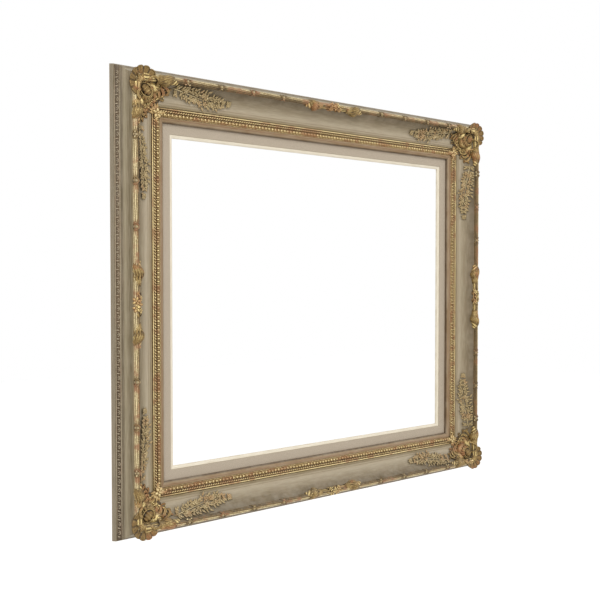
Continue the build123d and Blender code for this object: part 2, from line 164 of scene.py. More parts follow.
def span(tree, value, low, high, to_low=0.0, to_high=1.0):
    """Stretches a value from one range to another, and holds it there."""
    node = new_node(tree, "MapRange")
    for socket, given in zip(node.inputs, (value, low, high, to_low, to_high)):
        feed(tree, socket, given)
    return node.outputs[0]


def blend(tree, share, first, second):
    """Two colours, mixed by a share."""
    node = new_node(tree, "Mix", data_type="RGBA")
    feed(tree, node.inputs[0], share)
    feed(tree, node.inputs[6], first)
    feed(tree, node.inputs[7], second)
    return node.outputs[2]


def noise(tree, point, scale, detail=2.0, roughness=0.5):
    """Soft random cloud over a point, about 0.5 in the middle."""
    node = new_node(tree, "TexNoise")
    feed(tree, node.inputs["Vector"], point)
    node.inputs["Scale"].default_value = scale
    node.inputs["Detail"].default_value = detail
    node.inputs["Roughness"].default_value = roughness
    return node.outputs["Fac"]


def ramp(tree, value, stops):
    """A colour that changes with a value, through stops of place and colour."""
    node = new_node(tree, "ValToRGB")
    feed(tree, node.inputs[0], value)
    steps = node.color_ramp.elements
    while len(steps) < len(stops):
        steps.new(0.5)
    for step, (place, colour) in zip(steps, stops):
        step.position = place
        step.color = colour
    return node.outputs[0]


print("mid grey in the shader's light:", round(paint(128, 128, 128)[0], 3))


# %% Groups, materials and fine relief
def start_group(name, inputs, outputs):
    """A shader node group with named sockets, and the two nodes that stand for its inside ends."""
    tree = bpy.data.node_groups.new(name, "ShaderNodeTree")
    for label, kind, value in inputs:
        socket = tree.interface.new_socket(label, in_out="INPUT", socket_type="NodeSocket" + kind)
        if value is not None:
            socket.default_value = value
    for label, kind in outputs:
        tree.interface.new_socket(label, in_out="OUTPUT", socket_type="NodeSocket" + kind)
    return tree, tree.nodes.new("NodeGroupInput").outputs, tree.nodes.new("NodeGroupOutput").inputs


def use_group(tree, group, **values):
    """A group placed in a material, with its inputs by name."""
    node = new_node(tree, "Group", node_tree=group)
    for label, value in values.items():
        feed(tree, node.inputs[label], value)
    return node.outputs


def start_material(name):
    """A material with its shader, and the point of the surface in the room's metres."""
    material = bpy.data.materials.new(name)
    material.use_nodes = True
    tree = material.node_tree
    point = new_node(tree, "TexCoord").outputs["Object"]
    return material, tree, tree.nodes["Principled BSDF"].inputs, point


def surface_normal(tree):
    """The way that the surface looks."""
    return new_node(tree, "NewGeometry").outputs["Normal"]


def add_bump(tree, shader, height, distance):
    """Fine relief in a finish, as deep as a distance in metres."""
    node = new_node(tree, "Bump")
    node.inputs["Distance"].default_value = distance
    feed(tree, node.inputs["Height"], height)
    tree.links.new(node.outputs["Normal"], shader["Normal"])


print("materials so far:", len(bpy.data.materials))

# %% [markdown]
# The studio is a pale floor well below the hanging frame, a broad lamp high on the left, a weaker one on
# the right and an even sky. Soft light suits gilding: it shows the relief without harsh spots. The sky and
# the floor are pure white only where the camera or a reflection sees them.

# %% Studio
FLOOR_HEIGHT = -0.85
FLOOR_SIZE = 12.0
FLOOR_GLOW = 0.45
SKY_LIGHT = 0.62
SEEN_WHITE = 1.0
LAMP_SIZE = 1.6
# Each lamp: its place and its power. Both face the frame's middle
LAMPS = {"key_lamp": ((-1.6, -2.2, 1.7), 46), "fill_lamp": ((2.2, -1.6, 0.6), 12)}


def seen_or_reflected(tree):
    """1 for a ray from the camera, a reflection or a look through glass, otherwise 0."""
    path = new_node(tree, "LightPath").outputs
    either = calc(tree, "MAXIMUM", path["Is Camera Ray"], path["Is Glossy Ray"])
    return calc(tree, "MAXIMUM", either, path["Is Transmission Ray"])


def build_sky():
    """An even white sky, brighter where it is seen than where it lights."""
    world = bpy.data.worlds.new("sky")
    bpy.context.scene.world = world
    world.use_nodes = True
    tree = world.node_tree
    background = tree.nodes["Background"]
    background.inputs["Color"].default_value = (1, 1, 1, 1)
    seen = seen_or_reflected(tree)
    feed(tree, background.inputs["Strength"], span(tree, seen, 0, 1, SKY_LIGHT, SEEN_WHITE))


def build_floor():
    """A pale floor that glows a little where it is seen."""
    half = FLOOR_SIZE / 2
    corners = [(x * half, y * half, FLOOR_HEIGHT) for x, y in ((-1, -1), (1, -1), (1, 1), (-1, 1))]
    mesh = bpy.data.meshes.new("floor")
    mesh.from_pydata(corners, [], [(0, 1, 2, 3)])
    floor = bpy.data.objects.new("floor", mesh)
    bpy.context.scene.collection.objects.link(floor)
    material, tree, shader, point = start_material("pale_floor")
    cloud = noise(tree, point, 3.0)
    feed(tree, shader["Base Color"], blend(tree, cloud, paint(236, 235, 233), paint(246, 245, 243)))
    shader["Roughness"].default_value = 0.9
    shader["Emission Color"].default_value = (1, 1, 1, 1)
    feed(tree, shader["Emission Strength"], span(tree, seen_or_reflected(tree), 0, 1, 0.0, FLOOR_GLOW))
    mesh.materials.append(material)


def add_lamp(name, place, power):
    """A square soft lamp that faces the middle of the frame."""
    lamp = bpy.data.objects.new(name, bpy.data.lights.new(name, "AREA"))
    lamp.data.size = LAMP_SIZE
    lamp.data.energy = power
    lamp.location = place
    way = -np.array(place)
    flat = math.hypot(way[0], way[1])
    lamp.rotation_euler = (math.pi / 2 + math.atan2(way[2], flat), 0, math.atan2(-way[0], way[1]))
    bpy.context.scene.collection.objects.link(lamp)


build_sky()
build_floor()
for name, (place, power) in LAMPS.items():
    add_lamp(name, place, power)

# %% [markdown]
# The moulding's section is the base of everything, so it is worked out once as a line of points, from the
# head of the side band over the cove, the ridge and the scoop to the seat of the egg strip and the sight.
# Arcs are made from their two ends and how far they bow. With it, lie() gives the height of the wood at any
# inset, and each leaf can be laid on the real surface instead of on a guess.

# %% Section of the moulding
RELIEF_FOOT = (3.0, 9.0)
RELIEF_HEAD = (6.2, 21.0)
COVE_START = (6.2, 22.2)
COVE_SAG = -2.2
RIDGE_INSET = 19
RIDGE_HEIGHT = 41
RIDGE_RADIUS = 3.6
RIDGE_ANGLES = (200, -25)
SCOOP_END = (55.5, 20.4)
SCOOP_SAG = -5
SEAT_INSET = 56.6
SEAT_HEIGHT = 18.4
SEAT_END = 70.6
SIGHT_STEP = 1
SIGHT_FLAT = 1.8
SIGHT_SAG = 0.7
MOULDING_WIDTH = 77.8
SIGHT_HEIGHT = 15.4
ARC_POINTS = 16
RIDGE_POINTS = 24


def arc(start, end, sag):
    """Points on an arc between two ends that bows to the left of its way by sag."""
    start, end = np.array(start, float), np.array(end, float)
    chord = end - start
    half = np.linalg.norm(chord) / 2
    way = chord / (2 * half)
    left = np.array([-way[1], way[0]])
    radius = (half**2 + sag**2) / (2 * abs(sag))
    reach = math.asin(half / radius)
    turn = np.linspace(-reach, reach, ARC_POINTS)
    bow = (np.cos(turn) - math.cos(reach)) * radius * math.copysign(1, sag)
    return (start + end) / 2 + np.outer(np.sin(turn) * radius, way) + np.outer(bow, left)


ridge_turn = np.radians(np.linspace(*RIDGE_ANGLES, RIDGE_POINTS))
ridge_round = np.column_stack([np.cos(ridge_turn), np.sin(ridge_turn)])
ridge_line = np.array([RIDGE_INSET, RIDGE_HEIGHT]) + RIDGE_RADIUS * ridge_round
seat_line = [(SCOOP_END[0], SEAT_HEIGHT), (SEAT_END, SEAT_HEIGHT), (SEAT_END, SEAT_HEIGHT + SIGHT_STEP)]
sight_start = (SEAT_END + SIGHT_FLAT, SEAT_HEIGHT + SIGHT_STEP)
SECTION = np.vstack([
    [RELIEF_HEAD],
    arc(COVE_START, ridge_line[0], COVE_SAG),
    ridge_line,
    arc(ridge_line[-1], SCOOP_END, SCOOP_SAG),
    seat_line,
    arc(sight_start, (MOULDING_WIDTH, SIGHT_HEIGHT), SIGHT_SAG),
])
section_insets = np.maximum.accumulate(SECTION[:, 0]) + np.arange(len(SECTION)) * 1e-6


def lie(inset):
    """Height of the moulding's front above its back."""
    return np.interp(inset, section_insets, SECTION[:, 1])


print("height at the scoop's middle in mm:", round(float(lie(38)), 2))

# %% [markdown]
# Cast ornament is a crowd of small rounded forms: ribs, leaves, petals, beads, scrolls. All of them are one
# idea, a row of oval rings along a path, with a width that follows an outline from root to tip. frond()
# makes that row. Each point also gets a value named proud, 1 on a crest and 0 in a hollow or on the
# underside, because age and gilding follow that: dirt stays low and rubbed gold shines high. The finish
# also paints light with it: painted shade under each form and a painted highlight on its crest. A part
# that should look duller than its height gives is worth less.


# %% A carving and the outlines of its forms
class Carving:
    """Collects lumps of relief into one mesh, with how proud each point stands."""

    def __init__(self):
        self.points, self.faces, self.proud, self.count = [], [], [], 0

    def add(self, points, faces, proud):
        """Adds a lump, with its faces counted on from the points that are there."""
        self.points.append(points)
        self.proud.append(proud)
        self.faces.extend(tuple(self.count + i for i in face) for face in faces)
        self.count += len(points)

    def join(self, other, change=None):
        """Adds another carving, with its points changed by a function if one is given."""
        points = np.vstack(other.points)
        self.add(points if change is None else change(points), other.faces, np.concatenate(other.proud))


def unit(ways):
    """Ways of length one."""
    return ways / np.maximum(np.linalg.norm(ways, axis=-1, keepdims=True), 1e-9)


def leaf_outline(s):
    """Narrow root, full middle, pointed tip."""
    return np.clip(np.sin(np.pi * s**0.75), 0.0, 1) ** 0.8


def stem_outline(s):
    """Even, with round ends."""
    return np.sqrt(np.clip(1 - np.abs(2 * s - 1) ** 10, 0, 1))


def bead_outline(s):
    """Round, for points that lie closer together at the ends."""
    return np.sin(np.pi * s)


def lobe_outline(s):
    """Swells from its root to a full round tip."""
    return (0.45 + 0.55 * s**0.7) * np.sqrt(np.clip(1 - (np.maximum(s - 0.66, 0) / 0.34) ** 2, 0, 1))


def taper_outline(s):
    """Full root that runs out to a fine tip."""
    return stem_outline(s) * (1 - 0.75 * s)


print("fullness at mid leaf and mid lobe:", [round(float(f(0.5)), 2) for f in (leaf_outline, lobe_outline)])

# %% Fronds and lumps
# The way out from the back, in a carving's own frame
OUTWARD = (0, 0, 1)
CREASE_WIDTH = 0.35
ROOT_PROUD = 0.35
THINNEST = 0.03


def loft(rings, closed=False):
    """Faces between rings of points, with the ends closed, or joined to each other if closed."""
    count, sides = rings.shape[:2]
    faces = []
    for i in range(count if closed else count - 1):
        low, high = i * sides, (i + 1) % count * sides
        for k in range(sides):
            after = (k + 1) % sides
            faces.append((low + k, low + after, high + after, high + k))
    if not closed:
        faces.append(tuple(range(sides)))
        faces.append(tuple(range((count - 1) * sides, count * sides)))
    return faces


def frond(
    clay, path, width, depth, up=OUTWARD, outline=leaf_outline, sides=10, crease=0, closed=False, worth=1
):
    """A leaf, rib, stem or bead: oval rings along a path, creased on its crest and less bright if asked."""
    path = np.asarray(path, float)
    if closed:
        along = unit(np.roll(path, -1, axis=0) - np.roll(path, 1, axis=0))
    else:
        along = unit(np.gradient(path, axis=0))
    side = unit(np.cross(along, np.broadcast_to(up, path.shape)))
    top = np.cross(side, along)
    size = np.maximum(outline(np.linspace(0, 1, len(path))), THINNEST)[:, None, None]
    turn = np.arange(sides) * 2 * np.pi / sides
    across, rise = np.cos(turn), np.sin(turn)
    rise = np.where(rise > 0, rise * (1 - crease * np.exp(-((across / CREASE_WIDTH) ** 2))), rise)
    spread = width / 2 * across[None, :, None] * side[:, None, :]
    lift = depth * rise[None, :, None] * top[:, None, :]
    rings = path[:, None, :] + size * (spread + lift)
    fullness = ROOT_PROUD + (1 - ROOT_PROUD) * size[:, :, 0]
    # Proud is 0 on the underside and highest on the crest: glaze and painted shade low, painted highlight
    # high
    proud = np.broadcast_to(np.clip(rise, 0, 1), rings.shape[:2]) * fullness
    clay.add(rings.reshape(-1, 3), loft(rings, closed), proud.reshape(-1) * worth)


def lump(
    clay, centre, way, length, width, depth, up=OUTWARD, outline=bead_outline, rings=9, sides=10, worth=1
):
    """A rounded lump with its length along a way."""
    share = -np.cos(np.pi * np.linspace(0, 1, rings)) / 2
    path = np.asarray(centre, float) + np.outer(share * length, unit(np.asarray(way, float)))
    frond(clay, path, width, depth, up, outline, sides, worth=worth)


def bend(start, middle, end, count=9):
    """Points on a smooth bend from a start to an end, drawn towards a middle point."""
    start, middle, end = (np.asarray(p, float) for p in (start, middle, end))
    s = np.linspace(0, 1, count)[:, None]
    return (1 - s) ** 2 * start + 2 * s * (1 - s) * middle + s**2 * end


trial = Carving()
lump(trial, (0, 0, 0), (1, 0, 0), 2, 1, 1)
print("points and faces in a plain lump:", trial.count, len(trial.faces))

# %% [markdown]
# Ornament has to lie on the wood and not in it. So a path is drawn flat first, as places along and inward,
# and is then lifted to the height of the section under it, along the way that the wood faces there. Leaves
# round the ridge use an angle about its axis instead. The last tool turns a finished carving into a piece
# of the frame.

# %% Laying carvings on the wood
SLOPE_STEP = 0.6


def on_side(xy):
    """Height of the wood on a side, at places along and inward."""
    return lie(xy[:, 1])


def on_corner(xy):
    """Height of the wood near a mitre, at places down the stile and along the rail."""
    return lie(np.min(xy, axis=1))


def laid(ground, xy, lift):
    """A path laid on the wood with a lift, and the way out from the wood at each of its points."""
    slope = []
    for step in np.array([[SLOPE_STEP, 0], [0, SLOPE_STEP]]):
        slope.append((ground(xy + step) - ground(xy - step)) / (2 * SLOPE_STEP))
    out = unit(np.stack([-slope[0], -slope[1], np.ones(len(xy))], axis=1))
    path = np.column_stack([xy, ground(xy)])
    return path + out * np.reshape(lift, (-1, 1)), out


def laid_spot(ground, xy, lift):
    """One place laid on the wood, and the way out from it."""
    path, out = laid(ground, np.array([xy], float), lift)
    return path[0], out[0]


def around_ridge(along, angle, radius):
    """Points round the ridge: angle 0 faces the front, 90 faces inward."""
    turn = np.radians(angle)
    inset = RIDGE_INSET + radius * np.sin(turn)
    height = RIDGE_HEIGHT + radius * np.cos(turn)
    return np.stack(np.broadcast_arrays(along, inset, height), axis=-1)


def out_of_ridge(angle):
    """The way out of the ridge's round at an angle."""
    return around_ridge(0.0, angle, 1.0) - around_ridge(0.0, angle, 0.0)


print("way out of the scoop's middle:", laid_spot(on_side, (0, 38), 0)[1].round(2))


# %% Setting carvings on the frame
def place_piece(name, clay, origin, x_way, y_way, material, slot, replaced=()):
    """Sets a carving on the frame as one piece that rides on it."""
    points = np.vstack(clay.points) * MM @ np.array([x_way, y_way, FRONT]) + origin
    mesh = bpy.data.meshes.new(name)
    mesh.from_pydata(points.tolist(), [], clay.faces)
    proud = mesh.attributes.new("proud", "FLOAT", "POINT")
    proud.data.foreach_set("value", np.concatenate(clay.proud).astype(np.float32))
    shell = bmesh.new()
    shell.from_mesh(mesh)
    bmesh.ops.recalc_face_normals(shell, faces=shell.faces)
    shell.to_mesh(mesh)
    shell.free()
    mesh.shade_smooth()
    mesh.materials.append(material)
    piece = bpy.data.objects.new(name, mesh)
    bpy.context.scene.collection.objects.link(piece)
    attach(piece, "frame")
    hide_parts(*replaced)


def place_on_side(kind, side, clay, material, slot, replaced=()):
    """Sets a carving on one side, with replaced as the start of the names of what it stands in for."""
    middle, run, inward, _ = SIDES[side]
    nodes = [f"{node}_{side}" for node in replaced]
    place_piece(f"{kind}_{side}", clay, middle, run, inward, material, slot, nodes)


def place_on_corner(kind, corner, clay, material, slot, replaced=(), stick="stile"):
    """Sets a carving at one corner, with its run down the stile or along the rail."""
    origin, down, along = CORNERS[corner]
    ways = (down, along) if stick == "stile" else (along, down)
    nodes = [f"{node}_{corner}" for node in replaced]
    place_piece(f"{kind}_{corner}", clay, origin, *ways, material, slot, nodes)


print("carvings so far:", sum("proud" in mesh.attributes for mesh in bpy.data.meshes))

# %% [markdown]
# The finish comes in layers on the real frame: white gesso, red clay called bole, metal leaf, then a brown
# glaze that is wiped off the high places. Leaf rubbed through on the crests shows the bole. The same order
# works in shader groups, and a paler glint colour on the crests adds a painted highlight. Each group gives
# only colours and values, so one group serves gold ornament, pale washed sprays and the pressed side band,
# each with its own colours.


# %% Gilding and dust as shader groups
def build_gilding():
    """Leaf over bole under a wiped glaze, with a painted glint highlight on the crests, steered by how proud
    the surface is.
    """
    inputs = [
        ("Point", "Vector", None),
        ("Proud", "Float", 0.5),
        ("Glaze", "Color", paint(74, 52, 26)),
        ("Leaf", "Color", paint(186, 148, 84)),
        ("Glint", "Color", paint(238, 214, 152)),
        ("Bole", "Color", paint(150, 84, 52)),
        ("Rub", "Float", 0.4),
        ("Shine", "Float", 0.8),
    ]
    outputs = [("Color", "Color"), ("Metallic", "Float"), ("Roughness", "Float"), ("Height", "Float")]
    tree, given, result = start_group("antique_gilding", inputs, outputs)
    patch = noise(tree, given["Point"], 48, 3, 0.6)
    speck = noise(tree, given["Point"], 620, 2, 0.6)
    fine = noise(tree, given["Point"], 1900, 1)
    ragged = calc(tree, "ADD", given["Proud"], span(tree, speck, 0.3, 0.7, -0.16, 0.16))
    uneven = calc(tree, "ADD", ragged, span(tree, patch, 0.3, 0.7, -0.12, 0.12), clamp=True)
    low = blend(tree, span(tree, uneven, 0.12, 0.45), given["Glaze"], given["Leaf"])
    # Painted highlight: the crests turn to the paler glint colour
    gold = blend(tree, span(tree, uneven, 0.58, 1.0), low, given["Glint"])
    worn = calc(tree, "MULTIPLY", span(tree, patch, 0.5, 0.62), span(tree, uneven, 0.25, 0.6))
    worn = calc(tree, "MULTIPLY", worn, given["Rub"], clamp=True)
    feed(tree, result["Color"], blend(tree, worn, gold, given["Bole"]))
    metal = calc(tree, "MULTIPLY", span(tree, uneven, 0.1, 0.5, 0.15, 1.0), given["Shine"])
    metal = calc(tree, "MULTIPLY", metal, span(tree, worn, 0, 1, 1.0, 0.3))
    feed(tree, result["Metallic"], metal)
    feed(tree, result["Roughness"], span(tree, uneven, 0.1, 0.9, 0.68, 0.36))
    feed(tree, result["Height"], calc(tree, "ADD", speck, calc(tree, "MULTIPLY", fine, 0.4)))
    return tree


def build_dust():
    """Pale dust that settles where a surface looks up, broken up into patches."""
    inputs = [("Point", "Vector", None), ("Normal", "Vector", None), ("Amount", "Float", 0.3)]
    tree, given, result = start_group("settled_dust", inputs, [("Mask", "Float")])
    level = vector_calc(tree, "DOT_PRODUCT", given["Normal"], (0, 0, 1))["Value"]
    up = span(tree, level, 0.2, 1.0)
    cloud = span(tree, noise(tree, given["Point"], 90, 4, 0.65), 0.35, 0.7)
    feed(tree, result["Mask"], calc(tree, "MULTIPLY", calc(tree, "MULTIPLY", up, cloud), given["Amount"]))
    return tree


GILDING = build_gilding()
DUST = build_dust()
DUST_COLOUR = paint(196, 190, 178)
print("sockets of the gilding:", [socket.name for socket in GILDING.interface.items_tree])


# %% Brush streaks, weave and the place on a stick
def build_brushing():
    """Long soft streaks that a dry brush leaves along a stick, in millimetres along and across."""
    inputs = [("Along", "Float", 0.0), ("Across", "Float", 0.0)]
    inputs += [("Length", "Float", 40.0), ("Width", "Float", 0.8)]
    tree, given, result = start_group("brush_grain", inputs, [("Streak", "Float"), ("Fine", "Float")])

    def streaks(length_share, width_share, detail):
        """A cloud drawn out along the stick, in shares of the given length and width."""
        join = new_node(tree, "CombineXYZ")
        length = calc(tree, "MULTIPLY", given["Length"], length_share)
        width = calc(tree, "MULTIPLY", given["Width"], width_share)
        feed(tree, join.inputs[0], calc(tree, "DIVIDE", given["Along"], length))
        feed(tree, join.inputs[1], calc(tree, "DIVIDE", given["Across"], width))
        return noise(tree, join.outputs[0], 1.0, detail, 0.6)

    feed(tree, result["Streak"], streaks(1.0, 2.6, 3))
    feed(tree, result["Fine"], streaks(0.6, 0.7, 2))
    return tree


def build_stick_place():
    """Place on a stick in millimetres: along its run, inward from its edge and out from its back."""
    inputs = [
        ("Point", "Vector", None),
        ("Run", "Vector", (1, 0, 0)),
        ("Outward", "Vector", (0, 0, 1)),
        ("Reach", "Float", 0.4),
    ]
    outputs = [("Along", "Float"), ("Inset", "Float"), ("Height", "Float")]
    tree, given, result = start_group("place_on_stick", inputs, outputs)
    along = vector_calc(tree, "DOT_PRODUCT", given["Point"], given["Run"])["Value"]
    outward = vector_calc(tree, "DOT_PRODUCT", given["Point"], given["Outward"])["Value"]
    depth = vector_calc(tree, "DOT_PRODUCT", given["Point"], (0, -1, 0))["Value"]
    inset = calc(tree, "SUBTRACT", given["Reach"], outward)
    feed(tree, result["Along"], calc(tree, "MULTIPLY", along, 1 / MM))
    feed(tree, result["Inset"], calc(tree, "MULTIPLY", inset, 1 / MM))
    height = calc(tree, "MULTIPLY", calc(tree, "ADD", depth, BACK), 1 / MM)
    feed(tree, result["Height"], height)
    return tree


def build_linen():
    """Plain weave of linen thread: over and under by turns, with uneven threads."""
    inputs = [("Along", "Float", 0.0), ("Across", "Float", 0.0), ("Pitch", "Float", 0.7)]
    tree, given, result = start_group("linen_weave", inputs, [("Thread", "Float"), ("Slub", "Float")])

    def thread(place, other):
        """Round threads side by side, which dip where they pass under the others."""
        turn = calc(tree, "MULTIPLY", calc(tree, "DIVIDE", place, given["Pitch"]), math.pi)
        over = calc(tree, "MULTIPLY", calc(tree, "DIVIDE", other, given["Pitch"]), math.pi)
        round_top = calc(tree, "ABSOLUTE", calc(tree, "SINE", turn))
        wave = span(tree, calc(tree, "SINE", over), -1, 1, 0.35, 1.0)
        return calc(tree, "MULTIPLY", round_top, wave)

    warp = thread(given["Along"], given["Across"])
    weft = thread(given["Across"], calc(tree, "ADD", given["Along"], given["Pitch"]))
    feed(tree, result["Thread"], calc(tree, "MAXIMUM", warp, weft))
    join = new_node(tree, "CombineXYZ")
    feed(tree, join.inputs[0], calc(tree, "DIVIDE", given["Along"], 9.0))
    feed(tree, join.inputs[1], calc(tree, "DIVIDE", given["Across"], 0.9))
    feed(tree, result["Slub"], noise(tree, join.outputs[0], 1.0, 2))
    return tree


BRUSHING = build_brushing()
STICK_PLACE = build_stick_place()
LINEN = build_linen()
print("shader groups:", [group.name for group in bpy.data.node_groups])

# %% [markdown]
# Gold leaf material: the group above feeds colour, metal and roughness, and a mesh value named proud tells
# it where the crests are. Dust dulls what looks up. Grain in a bump stays very shallow, because the relief
# itself is mesh.

# %% Gilded and washed finishes
BUMP_LEAF = 0.00012
DUST_ON_GOLD = 0.25


def gilded(name, glaze, leaf, glint, bole, rub, shine):
    """A finish of leaf, bole and glaze for carved pieces, with its colours as on a paint card."""
    material, tree, shader, point = start_material(name)
    coat = use_group(
        tree,
        GILDING,
        Point=point,
        Proud=new_node(tree, "Attribute", attribute_name="proud").outputs["Fac"],
        Glaze=paint(*glaze),
        Leaf=paint(*leaf),
        Glint=paint(*glint),
        Bole=paint(*bole),
        Rub=rub,
        Shine=shine,
    )
    mask = use_group(tree, DUST, Point=point, Normal=surface_normal(tree), Amount=DUST_ON_GOLD)["Mask"]
    feed(tree, shader["Base Color"], blend(tree, mask, coat["Color"], DUST_COLOUR))
    clean = calc(tree, "SUBTRACT", 1.0, mask)
    feed(tree, shader["Metallic"], calc(tree, "MULTIPLY", coat["Metallic"], clean))
    feed(tree, shader["Roughness"], coat["Roughness"])
    add_bump(tree, shader, coat["Height"], BUMP_LEAF)
    return material


# Each finish: its glaze, leaf, glint (a painted highlight on crests) and bole, then how far it is rubbed
# through and how much it shines
GILDED_FINISHES = {
    "gold_cast": ((50, 34, 14), (132, 106, 60), (234, 210, 144), (142, 80, 42), 0.65, 0.5),
    "gold_ridge": ((70, 54, 30), (130, 108, 70), (236, 218, 170), (140, 86, 52), 0.75, 0.5),
    "gold_bead": ((88, 62, 30), (168, 138, 88), (230, 210, 156), (150, 90, 54), 0.65, 0.55),
    "washed_spray": ((90, 72, 44), (166, 145, 102), (230, 212, 168), (158, 110, 62), 0.5, 0.3),
    "pressed_band": ((106, 87, 62), (146, 130, 104), (192, 178, 150), (134, 92, 68), 0.35, 0.1),
}
leafed = {name: gilded(name, *recipe) for name, recipe in GILDED_FINISHES.items()}
print("gilded finishes:", sorted(leafed))

# %% [markdown]
# The four sticks keep their true solids. One material for each stick reads its place in the section, so the
# colour can change across it: grey olive side, darker cove, gold round the ridge, brushed beige scoop, gold
# sight, and bare wood behind and in the rebate. The dark bands are painted shade: where the side band meets
# the cove, on both sides of the ridge so that the scoop darkens towards it, in the dark groove lines by the
# sight, and at the egg strip's inner edge and the sight's outer edge.

# %% Finish of the moulding
# Inset in mm and colour. Painted shade: the dark stops at the band's joint with the cove (6.0 to 7.2), under
# the ridge (12.6 to 14.4 and 23.2 to 28.0), in two groove lines (49.2, 52.6), at the egg strip's inner edge
# (70.2) and at the sight's edge (77.6)
SECTION_COLOURS_AND_SHADE = [
    (0.0, paint(136, 123, 100)),
    (5.7, paint(130, 117, 92)),
    (6.0, paint(84, 70, 46)),
    (7.2, paint(90, 76, 50)),
    (8.4, paint(128, 115, 89)),
    (10.0, paint(148, 136, 108)),
    (12.6, paint(122, 108, 80)),
    (14.4, paint(98, 84, 52)),
    (15.6, paint(132, 114, 78)),
    (19.0, paint(186, 164, 116)),
    (22.4, paint(146, 122, 82)),
    (23.2, paint(92, 76, 48)),
    (28.0, paint(110, 94, 66)),
    (36.0, paint(142, 127, 99)),
    (45.0, paint(174, 160, 134)),
    (48.2, paint(174, 159, 132)),
    (49.2, paint(138, 121, 93)),
    (50.2, paint(166, 151, 123)),
    (51.6, paint(164, 148, 119)),
    (52.6, paint(126, 109, 80)),
    (53.6, paint(136, 119, 86)),
    (54.8, paint(140, 124, 90)),
    (55.4, paint(156, 139, 102)),
    (56.2, paint(166, 144, 103)),
    (70.2, paint(104, 80, 48)),
    (71.0, paint(150, 124, 86)),
    (73.0, paint(128, 96, 66)),
    (75.5, paint(150, 124, 90)),
    (77.6, paint(84, 62, 40)),
]
WRAP_SHARE = 0.8
DUST_ON_PAINT = 0.3
DRY_BRUSH = paint(196, 184, 160)
OLD_GLAZE = paint(96, 82, 56)
WARM_CLOUD = paint(164, 144, 122)
GOLD_FROM = (53.8, 54.4)
GOLD_METAL = 0.45
BRUSH_STROKE = (34.0, 0.9)
BUMP_BRUSH = 0.00018


def start_side_material(name, side):
    """A material for one side, with its shader, the surface's point and its place on the stick."""
    middle, run, inward, _ = SIDES[side]
    material, tree, shader, point = start_material(f"{name}_{side}")
    reach = float(np.dot(middle, -inward))
    where = use_group(tree, STICK_PLACE, Point=point, Run=tuple(run), Outward=tuple(-inward), Reach=reach)
    return material, tree, shader, point, where


def streaks_round(tree, where, length, width):
    """Streaks along a stick that wrap over its section, of a length and width in millimetres."""
    across = calc(tree, "ADD", where["Inset"], calc(tree, "MULTIPLY", where["Height"], WRAP_SHARE))
    return use_group(tree, BRUSHING, Along=where["Along"], Across=across, Length=length, Width=width)


def painted_coat(tree, point, where, brush):
    """The coat on the section: a colour for each inset with its painted shade, brush streaks, a warm cloud
    and dust.
    """
    share = calc(tree, "DIVIDE", where["Inset"], MOULDING_WIDTH)
    coat = ramp(tree, share, [(inset / MOULDING_WIDTH, colour) for inset, colour in SECTION_COLOURS_AND_SHADE])
    coat = blend(tree, span(tree, brush["Streak"], 0.4, 0.7, 0.0, 0.3), coat, DRY_BRUSH)
    coat = blend(tree, span(tree, brush["Fine"], 0.6, 0.38, 0.0, 0.22), coat, OLD_GLAZE)
    coat = blend(tree, span(tree, noise(tree, point, 26, 3), 0.45, 0.75, 0.0, 0.2), coat, WARM_CLOUD)
    mask = use_group(tree, DUST, Point=point, Normal=surface_normal(tree), Amount=DUST_ON_PAINT)["Mask"]
    return blend(tree, mask, coat, DUST_COLOUR)


print("colours over the section:", len(SECTION_COLOURS_AND_SHADE))

# %% Bare wood, and the sticks dressed
WOOD_DARK = paint(176, 138, 92)
WOOD_LIGHT = paint(206, 172, 126)
WOOD_PORE = paint(140, 98, 58)
WOOD_GRAIN = (150.0, 3.0)
BACK_SKIN = 0.3
REBATE_INSET = 70.9
LIP_HEIGHT = 12.1


def bare_share(tree, where):
    """1 on the back and in the rebate, where a stick is never painted."""
    behind = calc(tree, "LESS_THAN", where["Height"], BACK_SKIN)
    inside = calc(tree, "GREATER_THAN", where["Inset"], REBATE_INSET)
    inside = calc(tree, "MULTIPLY", inside, calc(tree, "LESS_THAN", where["Height"], LIP_HEIGHT))
    return calc(tree, "MAXIMUM", behind, inside)


def bare_wood(tree, where):
    """Pale wood with long grain and darker pores."""
    grain = streaks_round(tree, where, *WOOD_GRAIN)
    wood = blend(tree, span(tree, grain["Streak"], 0.3, 0.7), WOOD_DARK, WOOD_LIGHT)
    return blend(tree, span(tree, grain["Fine"], 0.55, 0.7, 0.0, 0.35), wood, WOOD_PORE)


def moulding_finish(side):
    """The finish of one stick."""
    material, tree, shader, point, where = start_side_material("moulding", side)
    brush = streaks_round(tree, where, *BRUSH_STROKE)
    bare = bare_share(tree, where)
    painted = painted_coat(tree, point, where, brush)
    feed(tree, shader["Base Color"], blend(tree, bare, painted, bare_wood(tree, where)))
    golden = calc(tree, "MULTIPLY", span(tree, where["Inset"], *GOLD_FROM), GOLD_METAL)
    feed(tree, shader["Metallic"], calc(tree, "MULTIPLY", golden, calc(tree, "SUBTRACT", 1.0, bare)))
    feed(tree, shader["Roughness"], span(tree, brush["Streak"], 0.3, 0.7, 0.46, 0.62))
    add_bump(tree, shader, calc(tree, "ADD", brush["Streak"], brush["Fine"]), BUMP_BRUSH)
    return material


def dress(node, material):
    """Gives a solid of the frame its finish."""
    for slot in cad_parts[node].material_slots:
        slot.material = material


STICKS = {"top": "top_rail", "bottom": "bottom_rail", "left": "left_stile", "right": "right_stile"}
for side, stick in STICKS.items():
    dress(stick, moulding_finish(side))
print("sticks dressed:", sorted(STICKS.values()))

